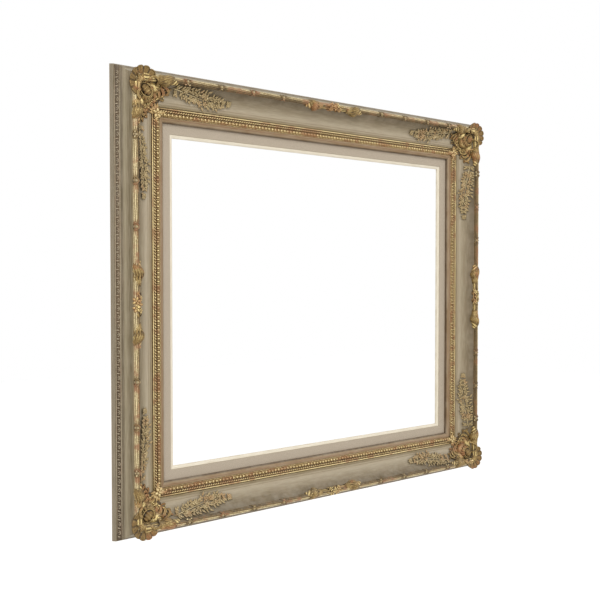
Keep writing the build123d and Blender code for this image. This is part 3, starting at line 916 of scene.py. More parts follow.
# %% [markdown]
# The liner is a flat stick wrapped in raw linen, and the slip a thin stick with a cream gesso face. The
# weave is far too small to model thread by thread, so it lives in the finish: a weave group, lit by a
# shallow bump and with painted shade where the threads dip.

# %% Linen liner and cream slip
BUMP_WEAVE = 0.00022
THREAD_PITCH = 0.62
# Painted shade on the liner's outer edge under the moulding's lip, and a darker band at the slip's outer edge
# where it meets the liner: none at the first inset, full at the second
LINER_LIP_SHADE = (78.4, 76.6)
SLIP_EDGE_DARKENING = (93.2, 92.6)
SLIP_STROKE = (24.0, 0.5)


def linen_finish(side):
    """Raw linen with painted shade between its threads, and painted shade where it meets the sight edge under
    the moulding's lip.
    """
    material, tree, shader, _, where = start_side_material("linen", side)
    weave = use_group(tree, LINEN, Along=where["Along"], Across=where["Inset"], Pitch=THREAD_PITCH)
    # Painted shade in the weave: the cloth is darker where a thread dips and between threads
    cloth = blend(tree, span(tree, weave["Thread"], 0.1, 0.9), paint(150, 136, 116), paint(206, 192, 172))
    cloth = blend(tree, span(tree, weave["Slub"], 0.35, 0.7, 0.0, 0.45), cloth, paint(186, 170, 150))
    # Painted shade under the moulding's lip, at the liner's outer edge
    edge_darkening = span(tree, where["Inset"], *LINER_LIP_SHADE)
    feed(tree, shader["Base Color"], blend(tree, edge_darkening, cloth, paint(96, 78, 52)))
    feed(tree, shader["Roughness"], span(tree, weave["Slub"], 0.2, 0.8, 0.86, 0.96))
    add_bump(tree, shader, weave["Thread"], BUMP_WEAVE)
    return material


def cream_slip_finish(side):
    """Brushed cream gesso, darker where it meets the liner."""
    material, tree, shader, _, where = start_side_material("cream_slip", side)
    length, width = SLIP_STROKE
    brush = use_group(tree, BRUSHING, Along=where["Along"], Across=where["Inset"], Length=length, Width=width)
    cream = blend(tree, span(tree, brush["Streak"], 0.3, 0.7), paint(216, 204, 180), paint(240, 231, 212))
    edge_darkening = span(tree, where["Inset"], *SLIP_EDGE_DARKENING)
    feed(tree, shader["Base Color"], blend(tree, edge_darkening, cream, paint(150, 132, 100)))
    feed(tree, shader["Roughness"], span(tree, brush["Fine"], 0.3, 0.7, 0.5, 0.62))
    add_bump(tree, shader, brush["Fine"], BUMP_LEAF)
    return material


for side in SIDES:
    dress("liner_" + side, linen_finish(side))
    dress("slip_" + side, cream_slip_finish(side))
print("liners and slips dressed:", 2 * len(SIDES))

# %% [markdown]
# Fittings behind the frame are plain hardware: zinc plated steel with a cloudy plating and small scratches,
# and black rubber bumpers. They carry no ornament, so their solids stay and only their finish is made here.

# %% Hardware finishes
STEEL_NODES = ["corner_wedges", "liner_brads", "hanger_screws", "turn_button_screws"]
STEEL_NODES += ["hanger_strap_left", "hanger_strap_right", "hanger_ring_left", "hanger_ring_right"]
STEEL_NODES += ["turn_button_" + side for side in SIDES]
SCRATCH_STRETCH = (260, 260, 2600)
BUMP_SCRATCH = 0.00003
BUMP_GRIT = 0.0001


def zinc_steel():
    """Steel under a cloudy zinc plating, with fine scratches."""
    material, tree, shader, point = start_material("zinc_steel")
    cloud = noise(tree, point, 320, 4, 0.6)
    scratch = noise(tree, vector_calc(tree, "MULTIPLY", point, SCRATCH_STRETCH)["Vector"], 1.0, 2)
    plating = blend(tree, span(tree, cloud, 0.35, 0.65), paint(158, 160, 160), paint(206, 206, 200))
    scratched = span(tree, scratch, 0.6, 0.7, 0, 0.4)
    feed(tree, shader["Base Color"], blend(tree, scratched, plating, paint(110, 108, 100)))
    feed(tree, shader["Metallic"], span(tree, cloud, 0.3, 0.7, 0.85, 1.0))
    feed(tree, shader["Roughness"], span(tree, cloud, 0.3, 0.7, 0.28, 0.48))
    add_bump(tree, shader, scratch, BUMP_SCRATCH)
    return material


def black_rubber():
    """Dull rubber with a fine grit."""
    material, tree, shader, point = start_material("black_rubber")
    grit = noise(tree, point, 1500, 3)
    feed(tree, shader["Base Color"], blend(tree, grit, paint(30, 30, 31), paint(58, 57, 56)))
    feed(tree, shader["Roughness"], span(tree, grit, 0.3, 0.7, 0.6, 0.85))
    add_bump(tree, shader, grit, BUMP_GRIT)
    return material


steel = zinc_steel()
for node in STEEL_NODES:
    dress(node, steel)
dress("wall_bumpers", black_rubber())
print("hardware dressed:", len(STEEL_NODES) + 1)

# %% [markdown]
# The side band is a pressed strip: small arches with a pellet in each and a dart between, inside two thin
# fillets. It could be a displaced texture, but seen from the side the band is one of the first things that
# the eye meets, so one unit is modelled and then repeated along each side.


# %% Tools for pressed strips
def repeat(clay, unit_piece, places):
    """Sets the same unit at each place along a side."""
    for along in places:
        clay.join(unit_piece, lambda points: points + np.array([along, 0, 0]))


def evenly(half, pitch):
    """Places from end to end of a side at about a pitch."""
    count = int(2 * half / pitch)
    return (np.arange(count) - (count - 1) / 2) * (2 * half / count)


def mitred_bar(clay, outline, half, proud):
    """A thin bar of a section given as inset and height, cut at both mitres."""
    outline = np.array(outline, float)
    rings = np.stack([np.column_stack([sign * (half - outline[:, 0]), outline]) for sign in (-1, 1)])
    clay.add(rings.reshape(-1, 3), loft(rings), np.full(2 * len(outline), proud))


print("places on a short strip:", evenly(20, 12).round(2))

# %% Pressed side bands
BAND_PITCH = 12.3
BAND_GROUND = 0.4
BAND_MARGIN = 0.6
BAND_END = 3
END_CLEAR = 9
FILLET_SIZE = (1.7, 0.8)
FILLET_GAP = 0.7
FILLET_POINTS = 60
ARCH_HALF = 2.5
ARCH_SPRING = 6.2
ARCH_FOOT = 2.0
ARCH_POINTS = 11
ARCH_SIZE = (1.3, 0.75)
PELLET_DROP = 0.6
PELLET_SIZE = (3.4, 1.6, 1.0)
DART_TOP = 3.4
DART_SIZE = (2.2, 0.8)

relief_way = np.subtract(RELIEF_HEAD, RELIEF_FOOT)
BAND_HEIGHT = float(np.linalg.norm(relief_way))
relief_way = relief_way / BAND_HEIGHT


def band_to_side(points):
    """Turns along, up the band and out of the band into along, inset and height."""
    inset = RELIEF_FOOT[0] + relief_way[0] * points[:, 1] - relief_way[1] * points[:, 2]
    height = RELIEF_FOOT[1] + relief_way[1] * points[:, 1] + relief_way[0] * points[:, 2]
    return np.column_stack([points[:, 0], inset, height])


def arch_unit():
    """An arch with a pellet in it, and the dart that stands beside it."""
    unit_piece = Carving()
    turn = np.linspace(math.pi, 0, ARCH_POINTS)
    over = np.column_stack([ARCH_HALF * np.cos(turn), ARCH_SPRING + ARCH_HALF * np.sin(turn)])
    flat = np.vstack([[(-ARCH_HALF, ARCH_FOOT)], over, [(ARCH_HALF, ARCH_FOOT)]])
    path = np.column_stack([flat, np.full(len(flat), BAND_GROUND)])
    frond(unit_piece, path, *ARCH_SIZE, outline=stem_outline, sides=8)
    lump(unit_piece, (0, ARCH_SPRING - PELLET_DROP, BAND_GROUND), (0, 1, 0), *PELLET_SIZE, rings=7, sides=8)
    foot = np.array([BAND_PITCH / 2, ARCH_FOOT, BAND_GROUND])
    head = np.array([BAND_PITCH / 2, ARCH_SPRING + DART_TOP, BAND_GROUND])
    frond(unit_piece, bend(foot, (foot + head) / 2, head, 7), *DART_SIZE, sides=8)
    return unit_piece


def side_band(half):
    """A whole band: arches, a fillet along either edge and the thin plate under them."""
    band = Carving()
    repeat(band, arch_unit(), evenly(half - END_CLEAR, BAND_PITCH))
    low, high = BAND_MARGIN, BAND_HEIGHT - BAND_MARGIN
    for up_band in (low + FILLET_GAP, high - FILLET_GAP):
        reach = half - BAND_END
        path = np.linspace((-reach, up_band, BAND_GROUND), (reach, up_band, BAND_GROUND), FILLET_POINTS)
        frond(band, path, *FILLET_SIZE, outline=stem_outline, sides=8)
    clay = Carving()
    clay.join(band, band_to_side)
    face = np.array([(0, low, 0), (0, high, 0), (0, high, BAND_GROUND), (0, low, BAND_GROUND)], float)
    mitred_bar(clay, band_to_side(face)[:, 1:], half, 0.0)
    return clay


for side, (_, _, _, half) in SIDES.items():
    band = side_band(half)
    place_on_side("side_band", side, band, leafed["pressed_band"], "gilded_ornament", ["side_relief"])
print("arches on a rail:", len(evenly(HALF_WIDTH - END_CLEAR, BAND_PITCH)))

# %% [markdown]
# Beside the dark groove runs a bright round fillet, then a rope, and beside the rope a row of eggs in cups
# with small beads between. These catch the light as a line of sparks, so their crests must be round and
# real. A strand of rope is one short frond that climbs over a half round; repeated at its pitch, the
# strands read as a twist.

# %% Rope strand and egg
STRIP_TOP = 19.4
STRIP_END = 70.3
ROPE_INSET = 61.4
ROPE_RADIUS = 1.25
ROPE_PITCH = 4.3
ROPE_WRAP = 86
ROPE_LEAN = 0.72
ROPE_SINK = 0.25
ROPE_POINTS = 9
STRAND_SIZE = (2.5, 0.85)
EGG_INSET = 66.6
EGG_PITCH = 6.4
EGG_SHIFT = 0.2
EGG_SIZE = (5.0, 3.4, 2.9)
CUP_RADII = (2.45, 3.05)
CUP_WRAP = 140
CUP_LIFT = 0.3
CUP_POINTS = 15
CUP_SIZE = (0.9, 1.0)
# Small beads between two eggs: place inward of the eggs' line and size
SMALL_BEADS = ((-2.2, 1.5), (0.2, 1.9), (2.5, 1.4))
BEAD_LIFT = 0.2
BEAD_DEPTH_SHARE = 0.8


def rope_strand():
    """One strand that climbs over the rope's half round while it moves along."""
    unit_piece = Carving()
    turn = np.radians(np.linspace(-ROPE_WRAP, ROPE_WRAP, ROPE_POINTS))
    out = np.column_stack([np.zeros(ROPE_POINTS), np.sin(turn), np.cos(turn)])
    along = np.linspace(-ROPE_LEAN, ROPE_LEAN, ROPE_POINTS) * ROPE_PITCH
    path = out * ROPE_RADIUS + np.array([0, ROPE_INSET, STRIP_TOP - ROPE_SINK])
    path[:, 0] = along
    frond(unit_piece, path, *STRAND_SIZE, up=out, outline=bead_outline, sides=8)
    return unit_piece


def egg_unit():
    """An egg in its cup, and the small beads that stand beside it."""
    unit_piece = Carving()
    centre = np.array([0, EGG_INSET, STRIP_TOP])
    lump(unit_piece, centre - [0, EGG_SHIFT, 0], (0, 1, 0), *EGG_SIZE, rings=9, sides=12, worth=1.1)
    turn = np.radians(np.linspace(-CUP_WRAP, CUP_WRAP, CUP_POINTS)) + math.pi / 2
    rim = [CUP_RADII[0] * np.cos(turn), CUP_RADII[1] * np.sin(turn), np.full(CUP_POINTS, CUP_LIFT)]
    frond(unit_piece, centre + np.column_stack(rim), *CUP_SIZE, outline=stem_outline, sides=8, worth=0.7)
    for across, size in SMALL_BEADS:
        bead = centre + [EGG_PITCH / 2, across, BEAD_LIFT]
        lump(unit_piece, bead, (0, 1, 0), size, size, size * BEAD_DEPTH_SHARE, rings=7, sides=8)
    return unit_piece


print("faces in a strand and in an egg:", len(rope_strand().faces), len(egg_unit().faces))

# %% Fillet, rope and egg strips
BRIGHT_FILLET_INSET = 57.9
BRIGHT_FILLET_LIFT = 0.5
BRIGHT_FILLET_SIZE = (2.4, 1.5)
RIM_INSET = STRIP_END - 0.5
RIM_SIZE = (0.8, 0.7)
RIM_POINTS = 40
EGG_CLEAR = 2
STRIP_PROUD = 0.05


def edge_path(half, inset, height, points):
    """A line along a side at an inset, from mitre to mitre."""
    return np.linspace((inset - half, inset, height), (half - inset, inset, height), points)


def bead_strip(half):
    """A whole strip: its base, the bright fillet, the rope, the eggs and a fine rim."""
    clay = Carving()
    base = [(SEAT_INSET, SEAT_HEIGHT), (STRIP_END, SEAT_HEIGHT), (STRIP_END, STRIP_TOP)]
    mitred_bar(clay, [*base, (SEAT_INSET, STRIP_TOP)], half, STRIP_PROUD)
    fillet = edge_path(half, BRIGHT_FILLET_INSET, STRIP_TOP + BRIGHT_FILLET_LIFT, FILLET_POINTS)
    frond(clay, fillet, *BRIGHT_FILLET_SIZE, outline=stem_outline, sides=10, worth=1.05)
    repeat(clay, rope_strand(), evenly(half - ROPE_INSET, ROPE_PITCH))
    repeat(clay, egg_unit(), evenly(half - EGG_INSET - EGG_CLEAR, EGG_PITCH))
    rim = edge_path(half, RIM_INSET, STRIP_TOP, RIM_POINTS)
    frond(clay, rim, *RIM_SIZE, outline=stem_outline, sides=8)
    return clay


for side, (_, _, _, half) in SIDES.items():
    strip = bead_strip(half)
    place_on_side("rope_and_eggs", side, strip, leafed["gold_bead"], "gilded_ornament", ["bead_strip"])
print("eggs on a rail:", len(evenly(HALF_WIDTH - EGG_INSET - EGG_CLEAR, EGG_PITCH)))

# %% [markdown]
# The ridge is carved as a bundle of reeds bound with ribbon. The stick's solid has the plain round and its
# bands, so the reeds go over it as a thin tube whose radius rises and falls round the bundle. The bundle is
# drawn in a little at each tie, as real reeds would be, and turns slowly as it runs.

# %% Reeds on the ridge
REED_COUNT = 9
REED_BASE = 3.68
REED_ROUND = 0.62
REED_TURN = 0.012
REED_STEP = 2.4
REED_END = 40
REED_SIDES = 72
PINCH_LENGTH = 7
TIE_FIRST = 110
TIE_END = 104
TIE_COUNTS = {"top": 4, "bottom": 4, "left": 3, "right": 3}


def tie_places(side):
    """Where the ribbon ties stand along a side, as on the stick's own solid."""
    half = SIDES[side][3]
    places = np.linspace(TIE_FIRST, half - TIE_END, TIE_COUNTS[side])
    return np.concatenate([-places[::-1], places])


def reed_bundle(side):
    """A thin reeded tube over the stick's round, pinched at each tie with painted shade there, and duller on
    its inner half.
    """
    clay = Carving()
    reach = SIDES[side][3] - REED_END
    stations = np.linspace(-reach, reach, int(2 * reach / REED_STEP))
    turn = np.linspace(0, 2 * math.pi, REED_SIDES + 1)[:-1]
    near = np.min(np.abs(stations[:, None] - tie_places(side)[None, :]), axis=1)
    pinch = np.exp(-((near / PINCH_LENGTH) ** 2))[:, None]
    swing = turn[None, :] + REED_TURN * stations[:, None]
    crest = np.abs(np.sin(swing * REED_COUNT / 2)) ** 0.75
    radius = REED_BASE + REED_ROUND * crest * (1 - 0.6 * pinch)
    rings = around_ridge(stations[:, None], np.degrees(turn)[None, :], radius)
    inner = np.clip((np.sin(turn) + 0.3) / 0.8, 0, 1)[None, :]
    # Proud sets the painted highlight on the reeds; it drops at each tie as painted shade in the pinch, and
    # is lower on the inner half
    proud = (0.2 + 0.8 * crest) * (1 - 0.5 * pinch) * (1 - 0.6 * inner)
    clay.add(rings.reshape(-1, 3), loft(rings), proud.reshape(-1))
    return clay


reed_bundles = {side: reed_bundle(side) for side in SIDES}
print("ties and faces of the reeds on a rail:", len(tie_places("top")), len(reed_bundles["top"].faces))

# %% Ribbon ties
TIE_RADIUS = 4.2
TIE_LEAN = 5.5
TIE_TURN = 40
TIE_POINTS = 40
RIBBON_SIZE = (2.4, 0.6)
RIBBON_OVER = 0.25
# Each knot: its angle round the ridge and its length
KNOTS = ((40, 4.6), (-60, 3.4))
KNOT_LIFT = 0.3
KNOT_SIZE = (2.6, 0.8)
BUD_SHIFT = 3.4
BUD_TURN = 24
BUD_LIFT = 0.4
BUD_SIZE = (3.6, 3.4, 1.5)


def crossed_ribbons(clay, place):
    """Two ribbons that lean against each other and cross at the knots."""
    angle = np.linspace(0, 360, TIE_POINTS + 1)[:-1]
    for lean, radius in ((TIE_LEAN, TIE_RADIUS), (-TIE_LEAN, TIE_RADIUS + RIBBON_OVER)):
        sway = place + lean * np.sin(np.radians(angle - TIE_TURN))
        path = around_ridge(sway, angle, radius)
        out = out_of_ridge(angle)
        frond(clay, path, *RIBBON_SIZE, out, np.ones_like, sides=8, crease=0.35, closed=True, worth=0.8)


def add_buds(clay, place, toward, face):
    """A bud on either side of a knot."""
    for way in (-1, 1):
        bud = around_ridge(place + way * BUD_SHIFT, toward + BUD_TURN, TIE_RADIUS + BUD_LIFT)
        lump(clay, bud, (1, 0, 0), *BUD_SIZE, up=face, rings=7, sides=8)


def ribbon_ties(side):
    """All ties of a side, with buds beside the ones nearest the corners."""
    clay = Carving()
    places = tie_places(side)
    for place in places:
        crossed_ribbons(clay, place)
        last = abs(place) > np.max(np.abs(places)) - 1
        for toward, length in KNOTS:
            face = out_of_ridge(toward)
            knot = around_ridge(place, toward, TIE_RADIUS + KNOT_LIFT)
            lump(clay, knot, (1, 0, 0), length, *KNOT_SIZE, up=face, rings=7, sides=8, worth=0.85)
            if last:
                add_buds(clay, place, toward, face)
    return clay


for side in SIDES:
    place_on_side("reeds", side, reed_bundles[side], leafed["gold_ridge"], "gilded_moulding")
    place_on_side("ribbon_ties", side, ribbon_ties(side), leafed["gold_ridge"], "gilded_moulding")
print("ties on all sides:", sum(len(tie_places(side)) for side in SIDES))

# %% [markdown]
# A corner ornament hides the mitre. From the outer corner inward it has a scallop shell with a husk of
# small leaves over its root, a ribbed oval boss and a palmette that fans down the scoop. On each side of
# them a wing holds a volute, nested leaves and a sheath that clasps the ridge. It is cast once and turned
# to all four corners, so it is modelled once here: one wing is carved, and its mirror image is the other.
# Overlapping lumps are right for it, because a carver also cuts one leaf over the next.

# %% Scallop shell
DIAGONAL_OUT = 225
SHELL_CENTRE = 30
SHELL_REACH = 23.8
SHELL_SPREAD = 200
SHELL_LOBES = 7
SHELL_ROOT = 41.6
SHELL_CROWN = (13, 45.4)
SHELL_EDGE = 48.9
SHELL_FOOT = 14
SHELL_UNDER = 28
SHELL_THICK = 1.2
SHELL_LIP = 2.2
SHELL_SINK = 0.4
SHELL_FLUTE = 1.3
SHELL_SCALLOP = 0.075
SHELL_START_SHARE = 0.08
SHELL_BACK_PROUD = 0.3
SHELL_POINTS = 22
LOBE_POINTS = 14

shell_rise = (SHELL_ROOT, SHELL_CROWN[1], SHELL_EDGE)
shell_crown = np.poly1d(np.polyfit((0, SHELL_CROWN[0], SHELL_REACH), shell_rise, 2))


def polar(centre, angle, radius):
    """Points in a corner's plane, round a centre on the diagonal."""
    turn = np.radians(angle)
    down, along = centre + radius * np.cos(turn), centre + radius * np.sin(turn)
    return np.stack(np.broadcast_arrays(down, along), axis=-1)


def spread_angles(middle, spread, count):
    """Evenly spread angles from one end of a spread to the other."""
    return np.linspace(middle - spread / 2, middle + spread / 2, count)


def shell_bowl(clay):
    """The shell's closed body: fluted lobes above and a plain underside that follows them."""
    angles = spread_angles(DIAGONAL_OUT, SHELL_SPREAD, SHELL_LOBES * LOBE_POINTS + 1)
    phase = (angles - angles[0]) / SHELL_SPREAD * SHELL_LOBES * math.pi
    lobe = (np.abs(np.sin(phase)) ** 0.85)[:, None]
    riblet = 0.5 * np.abs(np.cos(phase * 2))[:, None]
    s = np.linspace(SHELL_START_SHARE, 1, SHELL_POINTS)[None, :]
    radius = SHELL_REACH * (1 - SHELL_SCALLOP * (1 - lobe)) * s
    flute = SHELL_FLUTE * (1 - lobe) * s**1.3 + riblet * s**2
    height = shell_crown(radius) - SHELL_SINK - flute
    top = np.dstack([polar(SHELL_CENTRE, angles[:, None], radius), height])
    foot_heights = (SHELL_UNDER, SHELL_UNDER, SHELL_EDGE - SHELL_LIP)
    foot = np.interp(radius, (0, SHELL_FOOT, SHELL_REACH), foot_heights)
    under = top[:, ::-1].copy()
    under[:, :, 2] = np.minimum(foot, height - SHELL_THICK)[:, ::-1]
    rings = np.concatenate([top, under], axis=1)
    bright = np.clip(0.34 + 0.34 * lobe - 0.3 * riblet, 0, 1) * (0.5 + 0.5 * s)
    proud = np.concatenate([bright, np.full_like(bright, SHELL_BACK_PROUD)], axis=1)
    clay.add(rings.reshape(-1, 3), loft(rings), proud.reshape(-1))


corner_carving = Carving()
shell_bowl(corner_carving)
print("height at the shell's edge in mm:", round(float(shell_crown(SHELL_REACH)), 2))

# %% Rims and ribs of the shell, and its husk
LOBE_RIM_IN = 0.9
LOBE_RIM_SINK = 0.8
LOBE_RIM_SIZE = (2.2, 0.9)
LOBE_RIB_START = 6
LOBE_RIB_CLEAR = 2.5
LOBE_RIB_SINK = 0.9
LOBE_RIB_SIZE = (1.7, 1.0)
# Each husk leaf: the way it points, its reach and its width
HUSK_LEAVES = ((225, 16, 6.4), (186, 14, 5.6), (264, 14, 5.6), (206, 12, 4.6), (244, 12, 4.6))
HUSK_START = 1.5
HUSK_LIFT = 0.9
HUSK_DEPTH = 1.7


def fan(middle, spread, count):
    """Evenly spread angles, half a step in from either end."""
    return [middle + spread * ((i + 0.5) / count - 0.5) for i in range(count)]


def growing_outline(s):
    """A stem that starts thin and grows to its full width."""
    return stem_outline(s) * (0.5 + 0.5 * s)


def shell_ribs(clay):
    """A round rim on each lobe, and a rib down its middle."""
    for middle in fan(DIAGONAL_OUT, SHELL_SPREAD, SHELL_LOBES):
        sweep = np.linspace(-0.5, 0.5, 11) * SHELL_SPREAD / SHELL_LOBES
        edge = np.abs(np.cos(sweep / SHELL_SPREAD * SHELL_LOBES * math.pi)) ** 0.6
        reach = (SHELL_REACH - LOBE_RIM_IN) * (1 - SHELL_SCALLOP * (1 - edge))
        height = shell_crown(reach) - LOBE_RIM_SINK - SHELL_FLUTE * (1 - edge)
        rim = np.column_stack([polar(SHELL_CENTRE, middle + sweep, reach), height])
        frond(clay, rim, *LOBE_RIM_SIZE, outline=stem_outline, sides=8, worth=0.62)
        radius = np.linspace(LOBE_RIB_START, SHELL_REACH - LOBE_RIB_CLEAR, 11)
        rib = np.column_stack([polar(SHELL_CENTRE, middle, radius), shell_crown(radius) - LOBE_RIB_SINK])
        frond(clay, rib, *LOBE_RIB_SIZE, outline=growing_outline, sides=8, worth=0.7)


def shell_husk(clay):
    """Leaves that lie over the shell's root, so that the lobes seem to grow out of them."""
    heights = (SHELL_ROOT + HUSK_LIFT, SHELL_CROWN[1] + HUSK_LIFT, SHELL_EDGE)
    for angle, reach, width in HUSK_LEAVES:
        radius = np.linspace(HUSK_START, reach, 11)
        height = np.interp(radius, (0, SHELL_CROWN[0], SHELL_REACH), heights)
        path = np.column_stack([polar(SHELL_CENTRE, angle, radius), height])
        frond(clay, path, width, HUSK_DEPTH, sides=14, crease=0.6)


shell_ribs(corner_carving)
shell_husk(corner_carving)
print("faces in the shell:", len(corner_carving.faces))

# %% Ribbed boss
INTO_FRAME = np.array([1, 1, 0]) / math.sqrt(2)
ACROSS_MITRE = np.array([1, -1, 0]) / math.sqrt(2)
BOSS_CENTRE = 38
BOSS_HEIGHT = 37.2
BOSS_SIZE = (18, 14, 5.4)
BOSS_RIPPLES = 5
RIPPLE_SHARE = 0.13
BED_HEIGHT = 24
BED_SIZE = (38, 36, 12.5)
COLLAR_HEIGHT = 37
COLLAR_RADII = (10.6, 8.8)
COLLAR_SIZE = (2.4, 1.5)
SEED_COUNT = 24
SEED_HEIGHT = 36
SEED_RADII = (12.4, 10.6)
SEED_SIZE = (2.1, 2.1, 1.2)


def rippled_outline(s):
    """A bead with ripples along it."""
    return np.sin(np.pi * s) * (1 + RIPPLE_SHARE * np.cos(s * 2 * np.pi * BOSS_RIPPLES))


def round_boss(radii, height, count):
    """Places on an oval round the boss, with its long way into the frame."""
    turn = np.linspace(0, 2 * math.pi, count + 1)[:-1]
    oval = np.outer(radii[0] * np.cos(turn), INTO_FRAME) + np.outer(radii[1] * np.sin(turn), ACROSS_MITRE)
    return np.array([BOSS_CENTRE, BOSS_CENTRE, height]) + oval


def ribbed_boss(clay):
    """An oval boss on a broad bed, in a collar with a row of seeds round it."""
    lump(clay, (BOSS_CENTRE, BOSS_CENTRE, BED_HEIGHT), INTO_FRAME, *BED_SIZE, rings=13, sides=24)
    boss = (BOSS_CENTRE, BOSS_CENTRE, BOSS_HEIGHT)
    lump(clay, boss, INTO_FRAME, *BOSS_SIZE, outline=rippled_outline, rings=61, sides=20, worth=0.6)
    collar = round_boss(COLLAR_RADII, COLLAR_HEIGHT, 40)
    frond(clay, collar, *COLLAR_SIZE, outline=np.ones_like, sides=8, closed=True, worth=0.75)
    for seed in round_boss(SEED_RADII, SEED_HEIGHT, SEED_COUNT):
        lump(clay, seed, INTO_FRAME, *SEED_SIZE, rings=5, sides=8)


ribbed_boss(corner_carving)
print("faces with the boss:", len(corner_carving.faces))

# %% Palmette
DIAGONAL_IN = 45
PALM_RIBS = 9
PALM_SPREAD = 158
PALM_ROOT = 8
PALM_REACH = 26
PALM_SHORTENING = 5
PALM_NOTCH = 1.8
PALM_THICK = 1.5
PALM_POINTS = 15
PALM_RIB_POINTS = 20


def palm_reach(angle):
    """How far the palmette reaches: longest on the diagonal and shorter to its sides."""
    off = abs(angle - DIAGONAL_IN) / (PALM_SPREAD / 2)
    return PALM_REACH - PALM_SHORTENING * off**1.5


def palm_fan(clay):
    """The palmette's closed body: a ribbed fan that turns up a little at its rim."""
    angles = spread_angles(DIAGONAL_IN, PALM_SPREAD, PALM_RIBS * PALM_RIB_POINTS + 1)
    phases = np.linspace(0, PALM_RIBS * math.pi, len(angles))
    s = np.linspace(0, 1, PALM_POINTS)
    rings, proud = [], []
    for angle, phase in zip(angles, phases):
        rib = abs(math.sin(phase)) ** 0.7
        radius = PALM_ROOT + (palm_reach(angle) - PALM_NOTCH * (1 - rib) - PALM_ROOT) * s
        rise = 1.2 + 2.2 * (1 - s) ** 2 + (0.5 + 0.9 * s) * rib + 1.3 * s**6
        top, out = laid(on_corner, polar(BOSS_CENTRE, angle, radius), rise)
        under = top - out * (rise + PALM_THICK)[:, None]
        rings.append(np.vstack([top, under[::-1]]))
        proud.append(np.concatenate([0.15 + 0.6 * rib * (0.5 + 0.5 * s), np.zeros(PALM_POINTS)]))
    rings = np.array(rings)
    clay.add(rings.reshape(-1, 3), loft(rings), np.concatenate(proud))


palm_fan(corner_carving)
print("palmette's reach at its side in mm:", round(palm_reach(DIAGONAL_IN + PALM_SPREAD / 2), 1))

# %% Trim of the palmette
PALM_RIB_START = 11
PALM_RIB_CLEAR = 1.5
PALM_RIB_LIFT = 2.9
PALM_RIB_SIZE = (1.8, 0.9)
CURL_SWEEP = 7
CURL_IN = 0.8
CURL_LIFT = 2.6
CURL_SIZE = (2.6, 1.2)
DOT_SPREAD_SHARE = 0.9
DOT_RADII = (13, 16, 19, 22)
DOT_LIFT = 2.2
DOT_SIZE = (1.7, 1.7, 0.9)
ROOT_LEAVES = 7
ROOT_LEAF_SPREAD = 150
ROOT_LEAF_RADII = (8.5, 16)
ROOT_LEAF_HEIGHTS = (38, 33)
ROOT_LEAF_SIZE = (5.2, 1.8)


def palm_trim(clay):
    """A riblet and a curl on each rib, dots between the ribs, and small leaves over the root."""
    for angle in fan(DIAGONAL_IN, PALM_SPREAD, PALM_RIBS):
        reach = palm_reach(angle)
        radius = np.linspace(PALM_RIB_START, reach - PALM_RIB_CLEAR, 9)
        path, out = laid(on_corner, polar(BOSS_CENTRE, angle, radius), PALM_RIB_LIFT)
        frond(clay, path, *PALM_RIB_SIZE, up=out, outline=stem_outline, sides=8)
        sweep = angle + np.linspace(-CURL_SWEEP, CURL_SWEEP, 9)
        curl, out = laid(on_corner, polar(BOSS_CENTRE, sweep, reach - CURL_IN), CURL_LIFT)
        frond(clay, curl, *CURL_SIZE, up=out, outline=bead_outline, sides=8)
    for angle in fan(DIAGONAL_IN, PALM_SPREAD * DOT_SPREAD_SHARE, PALM_RIBS - 1):
        for radius in DOT_RADII:
            dot, out = laid_spot(on_corner, polar(BOSS_CENTRE, angle, radius), DOT_LIFT)
            lump(clay, dot, (1, -1, 0), *DOT_SIZE, up=out, rings=5, sides=6)
    for angle in fan(DIAGONAL_IN, ROOT_LEAF_SPREAD, ROOT_LEAVES):
        xy = polar(BOSS_CENTRE, angle, np.linspace(*ROOT_LEAF_RADII, 7))
        path = np.column_stack([xy, np.linspace(*ROOT_LEAF_HEIGHTS, 7)])
        frond(clay, path, *ROOT_LEAF_SIZE, crease=0.5, worth=0.8)


palm_trim(corner_carving)
print("faces with the palmette:", len(corner_carving.faces))

# %% [markdown]
# The sheath is an acanthus leaf twisted round the ridge. Its stalk is reeded like the ridge. Past the neck
# it opens into a blade that drapes towards the scoop, with ribs that slant across it and lobes that curl
# off its tip. It is drawn as one closed body whose radius changes with place and angle, because the lobes
# can then be laid on exactly the same surface. The centre ornaments use the same sheath.

# %% Body of a leaf sheath
# Start, neck, flare and end of the corner's sheath, and the radius of its body at each
SHEATH_STATIONS = (30, 58, 70, 88)
SHEATH_RADII = (7.4, 5.3, 7.9, 4.4)
SHEATH_OFFSET = 1.5
SHEATH_RIBS = 5
SHEATH_POINTS = 66
SHEATH_SIDES = 72
SHEATH_SLANT = 5
SHEATH_SINK = 1.1
STALK_REEDS = 8
TIP_PAST = 6
TIP_FADE = 8
# How the blade drapes to the scoop and is trimmed outside: middle angle, width and share of the radius
DRAPE = (80, 44, 0.24)
TRIM = (-95, 60, 0.3)


def around_sheath(along, angle, radius):
    """Points round a sheath's axis, which lies a little inward of the ridge's."""
    return around_ridge(along, angle, radius) + np.array([0, SHEATH_OFFSET, -SHEATH_OFFSET])


def past_neck(place, stations):
    """0 up to the neck, 1 from the flare on."""
    _, neck, flare, _ = stations
    return np.clip((place - neck) / (flare - neck), 0, 1)


def blade_share(place, stations):
    """How far the leaf has opened: 0 on the stalk, 1 on the blade, and less again at the tip."""
    return past_neck(place, stations) * np.clip((stations[3] + TIP_PAST - place) / TIP_FADE, 0, 1)


def hill(angle, middle, width, share):
    """A smooth swelling round a middle angle."""
    return share * np.exp(-(((angle - middle) / width) ** 2))


